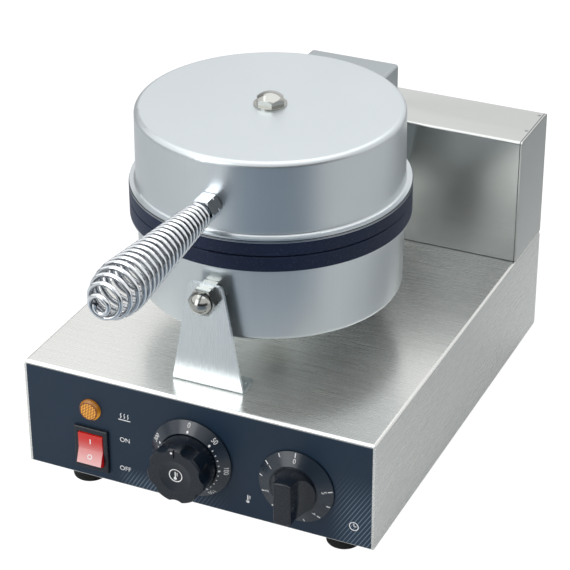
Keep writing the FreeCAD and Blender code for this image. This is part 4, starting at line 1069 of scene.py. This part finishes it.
@dataclass
class HexNut:
    """A hexagon nut with chamfered corners: plain, with a dome, or cut by a ball to a low cap."""

    across: float
    length: float
    bore: float
    dome_radius: float = 0.0
    dome_height: float = 0.0
    ball_radius: float = 0.0
    bore_depth: float = 0.0
    chamfer: float = 0.8
    edge: float = 0.16
    overlap: float = 0.02

    def model(self, name: str, at: Point, axis: Vector) -> Thing:
        """Model the nut and put it in its place.

        Args:
            name: the nut's name.
            at: the seat's middle in millimetres.
            axis: the way the nut stands up from its seat.

        Returns:
            The nut's object, in metres.
        """
        corner = self.across / math.sqrt(3.0)
        thing = cylinder(6, corner, self.length)
        carve(thing, self.ball() if self.ball_radius else self.barrel(corner), "INTERSECT")
        reach = self.bore_depth or self.length * (1.0 if self.dome_height else 2.0)
        carve(thing, cylinder(48, self.bore, reach + 1.0, -1.0), "DIFFERENCE")
        soften(thing, self.edge, segments=2, degrees=24.0)
        pieces = [thing]
        if self.dome_height:
            pieces.append(self.crown())
        whole = merge(pieces, name)
        seat(whole, at, axis)
        outward(whole)
        shade_smooth(whole, 28.0)
        return whole

    def barrel(self, corner: float) -> Thing:
        """A round bar with chamfered ends, which takes off the hexagon's corners.

        Args:
            corner: the hexagon's radius to its corners.

        Returns:
            The bar.
        """
        thing = cylinder(96, corner + 0.01, self.length)
        soften(thing, self.chamfer, segments=1, degrees=30.0)
        return thing

    def ball(self) -> Thing:
        """A ball whose top is the low dome of a cap nut.

        Returns:
            The ball.
        """
        thing = sphere(segments=96, rings=64, radius=self.ball_radius)
        thing.location = (0.0, 0.0, self.length - self.ball_radius)
        settle(thing)
        return thing

    def crown(self) -> Thing:
        """The rounded cap over the nut's end.

        Returns:
            The cap.
        """
        thing = sphere(segments=48, rings=24, radius=1.0)
        with editing(thing):
            bpy.ops.mesh.bisect(plane_co=(0, 0, 0.001), plane_no=(0, 0, 1), use_fill=True, clear_inner=True)
        thing.scale = (self.dome_radius, self.dome_radius, self.dome_height)
        thing.location = (0.0, 0.0, self.length - self.overlap)
        settle(thing)
        return thing


class BaseBox:
    """The folded base, the rear box behind the pan, the feet and what lies inside them."""

    def build(self) -> None:
        """Give the sheets, feet, screws and inner pieces their finishes."""
        dress(STEEL_TOP, "base_shell", "bottom_cover")
        dress(STEEL_BOX, "rear_box_shell", "rear_box_end_plates")
        dress(RUBBER, "rubber_feet")
        dress(ZINC, "bottom_cover_screws", "foot_screws", "rear_box_screws")
        dress(BLACK, "cable_gland", "gland_lock_nut", "terminal_block", "lamp_body", "timer_body")
        dress(ZINC, "thermostat_body", "thermostat_shaft", "timer_shaft")


@dataclass
class ControlPanel:
    """The dark film on the front of the base and its printed marks."""

    letter: float = 3.4
    on_word: Place = (-51.4, 53.1)
    off_word: Place = (-52.0, 30.6)
    heat: Place = (-51.4, 71.0)
    thermometer_at: Place = (37.4, 32.6)
    clock_at: Place = (111.5, 32.6)
    clock_radius: float = 3.3

    def build(self) -> None:
        """Print the switch words and the three pictograms."""
        dress(FILM, "front_overlay")
        marks = InkSheet("panel_marks", Face(0.0, PANEL_FACE, 0.0))
        marks.words("ON", self.on_word, self.letter)
        marks.words("OFF", self.off_word, self.letter)
        self.heat_sign(marks, *self.heat)
        self.thermometer(marks, *self.thermometer_at, scale=1.0)
        self.clock(marks, *self.clock_at, self.clock_radius)
        marks.finish(Body.BASE, Slot.FILM)

    @staticmethod
    def heat_sign(marks: InkSheet, x: float, z: float) -> None:
        """Three rising strokes over a plate.

        Args:
            marks: where it is drawn.
            x: its middle, to the right.
            z: its middle, upwards.
        """
        stroke = 0.55
        sway = 0.7
        for left in (x - 2.6, x, x + 2.6):
            marks.bar((left, z - 1.0), (left + sway, z + 0.4), stroke)
            marks.bar((left + sway, z + 0.2), (left, z + 1.6), stroke)
            marks.bar((left, z + 1.4), (left + sway, z + 2.8), stroke)
        marks.bar((x - 4.2, z - 2.2), (x + 4.6, z - 2.2), width=0.7)

    @staticmethod
    def thermometer(marks: InkSheet, x: float, z: float, scale: float) -> None:
        """A tube with a bulb and three graduations.

        Args:
            marks: where it is drawn.
            x: its middle, to the right.
            z: its middle, upwards.
            scale: its size.
        """
        tube_top = z + 2.6 * scale
        marks.bar((x, z - 2.0 * scale), (x, tube_top), 0.8 * scale)
        marks.disc((x, tube_top), 0.4 * scale)
        marks.disc((x, z - 2.2 * scale), 1.15 * scale)
        for step in (0.2, 1.2, 2.2):
            level = z + step * scale
            marks.bar((x + 0.9 * scale, level), (x + 2.0 * scale, level), 0.42 * scale)

    @staticmethod
    def clock(marks: InkSheet, x: float, z: float, radius: float) -> None:
        """A round face with two hands.

        Args:
            marks: where it is drawn.
            x: its middle, to the right.
            z: its middle, upwards.
            radius: its outer radius.
        """
        stroke = 0.6
        tail = 0.25
        marks.ring((x, z), radius, stroke)
        marks.bar((x, z - tail), (x, z + radius * 0.66), stroke)
        marks.bar((x - tail, z), (x + radius * 0.5, z), stroke)


def clock_place(degrees: float, radius: float) -> Place:
    """A place on a dial, clockwise from the top."""
    angle = math.radians(degrees)
    return (radius * math.sin(angle), radius * math.cos(angle))


@dataclass
class TemperatureDial:
    """The temperature knob and its fixed scale."""

    x: float = -2.0
    z: float = 54.0
    knob_face: float = -134.836
    first: float = 44.0
    step: float = 50.0
    numbers: int = 6
    number_ring: float = 25.9
    number_height: float = 2.9
    zero_height: float = 3.0
    dot_ring: float = 22.2
    zero_dot_ring: float = 22.3
    small_dot_ring: float = 22.0
    dot: float = 0.75
    small_dot: float = 0.45
    sign_radius: float = 4.8
    sign_at: Place = (-0.4, -0.2)
    pointer: Place = (-1.9, 17.4)

    def build(self) -> None:
        """Dress the dial, and print the scale, the knob's sign and its pointer's dot."""
        dress(SCALE_BLACK, "temperature_scale_ring")
        dress(BLACK, "temperature_knob")
        self.scale()
        dish = DishFace(self.x, self.knob_face, self.z, radius=11.4, depth=1.8)
        sign = InkSheet("temperature_knob_sign", dish)
        sign.ring((0.0, 0.0), self.sign_radius, width=0.65)
        ControlPanel.thermometer(sign, *self.sign_at, scale=0.95)
        sign.finish(Body.TEMPERATURE, Slot.BLACK)
        dot = InkSheet("temperature_knob_dot", Face(self.x, self.knob_face, self.z))
        dot.disc(self.pointer, radius=0.8)
        dot.finish(Body.TEMPERATURE, Slot.BLACK)

    def scale(self) -> None:
        """Print the numbers, a dot for each and four small dots between them."""
        face = RingFace(self.x, PANEL_FACE, self.z, radius=28.5, reach=6.6, lip=1.65, bevel=7.5)
        scale = InkSheet("temperature_scale", face)
        scale.words("0", clock_place(0.0, self.number_ring), self.zero_height)
        scale.disc(clock_place(0.0, self.zero_dot_ring), self.dot)
        for number in range(self.numbers):
            degrees = self.first + self.step * number
            place = clock_place(degrees, self.number_ring)
            scale.words(str(50 * (number + 1)), place, self.number_height, -math.radians(degrees))
            scale.disc(clock_place(degrees, self.dot_ring), self.dot)
            if number < self.numbers - 1:
                for part in range(1, 5):
                    between = degrees + self.step * part / 5.0
                    scale.disc(clock_place(between, self.small_dot_ring), self.small_dot)
        scale.finish(Body.BASE, Slot.BLACK)


@dataclass
class TimerDial:
    """The timer's bar knob and the scale ring that turns with it."""

    x: float = 72.0
    z: float = 52.5
    minute: float = 360.0 / 6.5
    numbers: int = 6
    number_ring: float = 20.4
    number_height: float = 2.9
    tick: Place = (22.8, 25.5)
    half_tick: Place = (23.0, 25.4)

    def build(self) -> None:
        """Dress the dial, and print the minutes and their ticks."""
        dress(SCALE_BLACK, "timer_scale_ring")
        dress(BLACK, "timer_knob")
        face = RingFace(self.x, PANEL_FACE, self.z, radius=26.0, reach=5.2, lip=1.3, bevel=9.0)
        scale = InkSheet("timer_scale", face)
        for number in range(self.numbers):
            degrees = -self.minute * number
            place = clock_place(degrees, self.number_ring)
            scale.words(str(number), place, self.number_height, -math.radians(degrees))
            scale.bar(*(clock_place(degrees, radius) for radius in self.tick), width=0.7)
            if number < self.numbers - 1:
                half = degrees - self.minute * 0.5
                scale.bar(*(clock_place(half, radius) for radius in self.half_tick), width=0.65)
        scale.finish(Body.TIMER, Slot.BLACK)


@dataclass
class PowerSwitch:
    """The rocker in its bezel, with its two marks, and the lamp above it."""

    x: float = -76.0
    z: float = 41.0
    crest: float = -112.836
    tilt: float = math.radians(20.0)

    def build(self) -> None:
        """Dress the switch and the lamp, and print the marks on the rocker's two halves."""
        dress(BLACK, "switch_housing")
        dress(ROCKER_RED, "rocker")
        dress(AMBER, "lamp_lens")
        on_mark = InkSheet("rocker_on_mark", Face(self.x, self.crest, self.z))
        on_mark.bar((0.0, 4.4), (0.0, 8.2), width=0.8)
        on_mark.finish(Body.ROCKER, Slot.RED)
        off_mark = InkSheet("rocker_off_mark", TiltFace(self.x, self.crest, self.z, self.tilt))
        off_mark.ring((0.0, -5.0), radius=1.8, width=0.6)
        off_mark.finish(Body.ROCKER, Slot.RED)


@dataclass
class Pans:
    """The lower pan, the lid and the hinge between them."""

    stud_z: float = 161.0
    lid_seat: float = 255.6
    bracket_front: float = -89.736
    bracket_back: float = -87.736
    inner_seat: float = -77.482
    across: float = 17.0
    stud_bore: float = 5.05
    nut_length: float = 6.0
    spacer_length: float = 7.804

    def build(self) -> None:
        """Dress the pans, plates and hinge, and model the nuts."""
        dress(PAN_SATIN, "lower_housing")
        dress(LID_SATIN, "lid_cover")
        dress(RIM_SATIN, "lid_rim_ring")
        dress(PLATE_COAT, "lower_plate", "upper_plate")
        dress(STEEL_UPRIGHT, "hinge_box", "hinge_bracket")
        dress(STEEL_BRACKET, "front_bracket")
        dress(ZINC, "bracket_screws", "hinge_pin", "hinge_clips", "hinge_sleeve", "hinge_bracket_screws")
        dress(ZINC, "rear_conduit", "conduit_nuts", "lower_washer", "lower_nut", "lower_center_bolt")
        dress(ZINC, "upper_center_bolt", "lower_clamp_plate", "upper_clamp_plate")
        dress(ELEMENT, "lower_heating_element", "upper_heating_element")
        dress(COPPER, "sensor_bulb")
        dress(WOOL, "lower_insulation", "upper_insulation")
        dress(CHROME, "pan_stud", "handle_stud")
        dress(NUT_STEEL, "lid_washer")
        self.nuts()

    def nuts(self) -> None:
        """The cap nuts on the lid and the bracket, and the two nuts behind the bracket."""
        low_cap = HexNut(self.across, length=7.4, bore=4.05, ball_radius=13.0, bore_depth=6.05)
        lid = low_cap.model("lid_acorn_nut", (0.0, PAN_Y, self.lid_seat), UP)
        hand_in(lid, Body.LID, Slot.BRIGHT, NUT_STEEL, "lid_cap_nut")
        domed = HexNut(self.across, self.nut_length, self.stud_bore, dome_radius=7.6, dome_height=7.0)
        cap = domed.model("pan_acorn_nut", (0.0, self.bracket_front, self.stud_z), -BACK)
        hand_in(cap, Body.BASE, Slot.BRIGHT, NUT_STEEL, "pan_cap_nut")
        pair = [
            HexNut(self.across, length, self.stud_bore).model("pan_nut", (0.0, y, self.stud_z), BACK)
            for length, y in ((self.spacer_length, self.bracket_back), (self.nut_length, self.inner_seat))
        ]
        hand_in(merge(pair, "pan_hex_nuts"), Body.BASE, Slot.BRIGHT, NUT_STEEL, "pan_stud_nuts")


@dataclass
class HandleGrip:
    """The coiled wire grip, its ferrule and the nuts at its root."""

    handle_z: float = 223.3
    face: float = -93.464
    across: float = 15.6
    stud_bore: float = 3.55
    hex_length: float = 8.3
    core_radius: float = 5.6
    core_length: float = 14.0
    lock_seat: float = -85.164
    lock_length: float = 5.0
    inner_seat: float = -77.714
    wire: float = 3.0
    length: float = 125.7
    turns: int = 22
    start_radius: float = 7.4
    wide_radius: float = 15.2
    tip_radius: float = 6.2
    ball: float = 27.0
    growth: float = 0.2
    lead: float = 0.6
    lead_bend: float = 3.4
    lead_pull: float = 0.42
    lead_steps: int = 8
    steps: int = 40
    close_turns: float = 0.8
    close_radius: float = 3.3
    close_drop: float = 0.45
    close_rate: float = 9.0

    def round_point(self, radius: float, angle: float, y: float) -> Vector:
        """A point at an angle round the handle's axis."""
        return mm(radius * math.sin(angle), y, self.handle_z + radius * math.cos(angle))

    def coil_point(self, share: float) -> Vector:
        """The wire's middle along the coil, which widens like a cone and closes like a ball.

        Args:
            share: from 0 at the ferrule to 1 at the tip.

        Returns:
            The point in metres.
        """
        lead = self.lead + self.lead_bend
        run = self.length - lead
        along = run * (share * (1.0 - self.growth) + self.growth * share * share)
        cone = run - self.ball
        if along <= cone:
            radius = self.start_radius + (self.wide_radius - self.start_radius) * along / cone
        else:
            closing = 1.0 - (self.tip_radius / self.wide_radius) ** 2
            radius = self.wide_radius * math.sqrt(1.0 - closing * ((along - cone) / self.ball) ** 2)
        return self.round_point(radius, 2.0 * math.pi * self.turns * share, self.face - lead - along)

    def wire_points(self) -> list[Vector]:
        """The whole wire: out of the ferrule, round the coil and inwards at the tip.

        Returns:
            The points in metres.
        """
        count = self.turns * self.steps
        coil = [self.coil_point(index / count) for index in range(count + 1)]
        angle = -self.lead_bend / self.start_radius
        root = self.round_point(self.start_radius, angle, self.face)
        bend = self.round_point(self.start_radius, angle, self.face - self.lead)
        pull = (coil[0] - bend).length * self.lead_pull
        in_way = (coil[1] - coil[0]).normalized()
        handles = (bend, bend - BACK * pull, coil[0] - in_way * pull, coil[0])
        lead_in = [self.bezier(handles, step / self.lead_steps) for step in range(self.lead_steps)]
        return [root] + lead_in + coil + self.closing()

    def closing(self) -> list[Vector]:
        """The wire's last part, which winds inwards in the plane of the tip.

        Returns:
            The points in metres.
        """
        count = int(self.steps * self.close_turns)
        points = []
        for step in range(1, count + 1):
            share = step / count
            radius = self.tip_radius + (self.close_radius - self.tip_radius) * share
            y = self.face - self.length - self.close_drop * (1.0 - math.exp(-self.close_rate * share))
            points.append(self.round_point(radius, 2.0 * math.pi * self.close_turns * share, y))
        return points

    @staticmethod
    def bezier(handles: Sequence[Vector], share: float) -> Vector:
        """A point along a cubic curve.

        Args:
            handles: the curve's four control points.
            share: from 0 at its start to 1 at its end.

        Returns:
            The point.
        """
        a, b, c, d = handles
        rest = 1.0 - share
        return a * rest**3 + b * (3 * rest * rest * share) + c * (3 * rest * share * share) + d * share**3

    def build(self) -> None:
        """Model the coil as one smooth wire, with its ferrule and its nuts."""
        data = bpy.data.curves.new("handle_coil", "CURVE")
        data.dimensions = "3D"
        data.bevel_depth = self.wire * 0.5 * MM
        data.bevel_resolution = 5
        data.use_fill_caps = True
        points = self.wire_points()
        spline = data.splines.new("POLY")
        spline.points.add(len(points) - 1)
        for target, point in zip(spline.points, points):
            target.co = (*point, 1.0)
        thing = bpy.data.objects.new("handle_coil", data)
        bpy.context.scene.collection.objects.link(thing)
        alone(thing)
        bpy.ops.object.convert(target="MESH")
        outward(thing)
        shade_smooth(thing, 50.0)
        hand_in(thing, Body.LID, Slot.BRIGHT, CHROME, "handle_spring")
        self.fittings()

    def fittings(self) -> None:
        """The hexagon ferrule with the core inside the coil, the lock nut and the inner nut."""
        root = (0.0, self.face, self.handle_z)
        ferrule = HexNut(self.across, self.hex_length, self.stud_bore).model("ferrule", root, BACK)
        core = cylinder(48, self.core_radius, self.core_length)
        soften(core, width=0.6, segments=3, degrees=30.0)
        seat(core, root, -BACK)
        shade_smooth(core, 28.0)
        whole = merge([ferrule, core], "handle_hex_ferrule")
        hand_in(whole, Body.LID, Slot.BRIGHT, CHROME, "handle_ferrule")
        nut = HexNut(self.across, self.lock_length, self.stud_bore)
        seats = (self.lock_seat, self.inner_seat)
        pair = [nut.model("handle_nut", (0.0, y, self.handle_z), BACK) for y in seats]
        hand_in(merge(pair, "handle_hex_nuts"), Body.LID, Slot.BRIGHT, CHROME, "handle_nuts")


@dataclass(frozen=True)
class SoftBox:
    """A large soft lamp that faces a point of the machine."""

    name: str
    place: Point
    aim: Point
    width: float
    height: float
    power: float

    def build(self) -> None:
        """Hang the lamp and turn it to its point."""
        data = bpy.data.lights.new(self.name, "AREA")
        data.shape = "RECTANGLE"
        data.size = self.width
        data.size_y = self.height
        data.energy = self.power
        thing = bpy.data.objects.new(self.name, data)
        bpy.context.scene.collection.objects.link(thing)
        thing.location = self.place
        thing.rotation_mode = "QUATERNION"
        thing.rotation_quaternion = (Vector(self.aim) - Vector(self.place)).to_track_quat("-Z", "Y")


@dataclass
class Studio:
    """Camera, floor, world and lamps: a key at the upper left, a top lamp and a fill at the front left."""

    azimuth: float = math.radians(24.76)
    elevation: float = math.radians(29.19)
    roll: float = math.radians(-0.24)
    eye: Point = (0.5281, -1.11524, 0.8148)
    lens: float = 133.28
    floor_size: float = 12.0
    floor_level: float = -0.0004
    # Floor colours seen in mirrors: the left colour, the strip beside the machine and the pool in front are
    # painted shade.
    floor_right: Colour = (0.88, 0.9, 0.91, 1.0)
    floor_left: Colour = (0.7, 0.72, 0.73, 1.0)
    floor_behind: Colour = (0.37, 0.39, 0.4, 1.0)
    floor_ahead: Colour = (0.27, 0.33, 0.4, 1.0)
    floor_seen: Colour = (0.55, 0.55, 0.55, 1.0)
    plain_light: float = 0.42
    front_dim: float = 0.94
    left_dim: float = 0.55
    lamps: tuple[SoftBox, ...] = (
        SoftBox("key", (-1.35, -0.35, 1.2), (0.0, 0.0, 0.12), 2.0, 2.0, 10.0),
        SoftBox("top", (-0.1, 0.5, 1.8), (0.0, 0.05, 0.1), 2.2, 2.2, 13.0),
        SoftBox("fill", (-0.68, -1.42, 0.75), (0.0, 0.0, 0.1), 0.8, 1.4, 9.0),
    )

    def build(self) -> None:
        """Set up the whole studio."""
        self.camera()
        self.floor()
        self.world()
        for lamp in self.lamps:
            lamp.build()
        bpy.context.scene.view_settings.view_transform = "Standard"

    def camera(self) -> None:
        """The camera at the photograph's place and angle."""
        data = bpy.data.cameras.new("camera")
        data.lens = self.lens
        data.sensor_width = 36.0
        data.clip_end = 50.0
        thing = bpy.data.objects.new("camera", data)
        bpy.context.scene.collection.objects.link(thing)
        flat = math.cos(self.elevation)
        rise = math.sin(self.elevation)
        back = Vector((math.sin(self.azimuth) * flat, -math.cos(self.azimuth) * flat, rise))
        right = (-back).cross(UP).normalized()
        up = right.cross(-back)
        side = right * math.cos(self.roll) + up * math.sin(self.roll)
        top = up * math.cos(self.roll) - right * math.sin(self.roll)
        turn = Matrix((side, top, back)).transposed().to_4x4()
        thing.matrix_world = Matrix.Translation(Vector(self.eye)) @ turn
        bpy.context.scene.camera = thing

    @staticmethod
    def forwards(x: Sock, y: Sock) -> Sock:
        """How far a place lies towards the camera, along the floor."""
        return x * 0.42 - y * 0.91

    def floor(self) -> None:
        """A pale floor that is white to the camera and keeps the shadow; mirrors see painted shade on it: a
        dimmer left, a shadow strip right of the machine and a dark pool in front.
        """
        bpy.ops.object.select_all(action="DESELECT")
        bpy.ops.mesh.primitive_plane_add(size=self.floor_size, location=(0.0, 0.0, self.floor_level))
        thing = bpy.context.active_object
        thing.name = "floor"
        made = bpy.data.materials.new("floor")
        made.use_nodes = True
        graph = Graph(made.node_tree)
        seen = graph.out(graph.node("ShaderNodeLightPath"), "Is Camera Ray")
        x, y, _ = graph.split(graph.place())
        away = graph.length(x, y, 0.0)
        # Painted shade for mirrors: a dark pool in front, a dimmer left and a shadow strip right of and
        # behind the machine.
        ahead = graph.smooth(self.forwards(x, y) / away, 0.68, 0.95) * graph.smooth(away, 0.2, 0.4)
        leftward = 1.0 - graph.smooth(x, -0.5, 0.3)
        beside = graph.smooth(x, 0.1, 0.3) * (1.0 - graph.smooth(x, 0.3, 0.42))
        behind = graph.smooth(y, -0.15, 0.25) * beside
        colour = graph.mix(leftward, self.floor_right, self.floor_left)
        colour = graph.mix(behind, colour, self.floor_behind)
        colour = graph.mix(ahead, colour, self.floor_ahead)
        colour = graph.mix(seen, colour, self.floor_seen)
        matte = graph.out(graph.node("ShaderNodeBsdfDiffuse", inputs={"Color": colour}))
        white = graph.out(graph.node("ShaderNodeEmission", inputs={"Color": WHITE, "Strength": 1.25}))
        mixed = graph.node("ShaderNodeMixShader", inputs={0: seen * 0.8, 1: matte, 2: white})
        graph.node("ShaderNodeOutputMaterial", inputs={0: graph.out(mixed)})
        thing.data.materials.append(made)

    def world(self) -> None:
        """White to the camera, dimmer in mirrors to the front and the left, and plain light elsewhere."""
        made = bpy.data.worlds.new("studio")
        bpy.context.scene.world = made
        made.use_nodes = True
        graph = Graph(made.node_tree)
        path = graph.node("ShaderNodeLightPath")
        camera, glossy, through = (
            graph.out(path, f"Is {kind} Ray") for kind in ("Camera", "Glossy", "Transmission")
        )
        gloss = graph.maths("MAXIMUM", glossy, through)
        x, y, z = graph.split(graph.out(graph.node("ShaderNodeTexCoord"), "Generated"))
        ahead = graph.smooth(self.forwards(x, y), 0.2, 0.7) * (1.0 - graph.smooth(z, 0.2, 0.5))
        leftward = 1.0 - graph.smooth(x, -0.8, -0.3)
        mirrored = (1.0 - ahead * self.front_dim) * (1.0 - leftward * self.left_dim)
        plain = self.plain_light + gloss * (mirrored - self.plain_light)
        level = plain + camera * (1.0 - plain)
        ground = graph.node("ShaderNodeBackground", inputs={"Color": WHITE, "Strength": level})
        graph.node("ShaderNodeOutputWorld", inputs={0: graph.out(ground)})


def main() -> None:
    """Build the studio and every sub-assembly."""
    logging.basicConfig(level=logging.INFO, format="%(name)s: %(message)s")
    for part in (Studio, BaseBox, ControlPanel, TemperatureDial, TimerDial, PowerSwitch, Pans, HandleGrip):
        part().build()


if __name__ == "__main__":
    main()
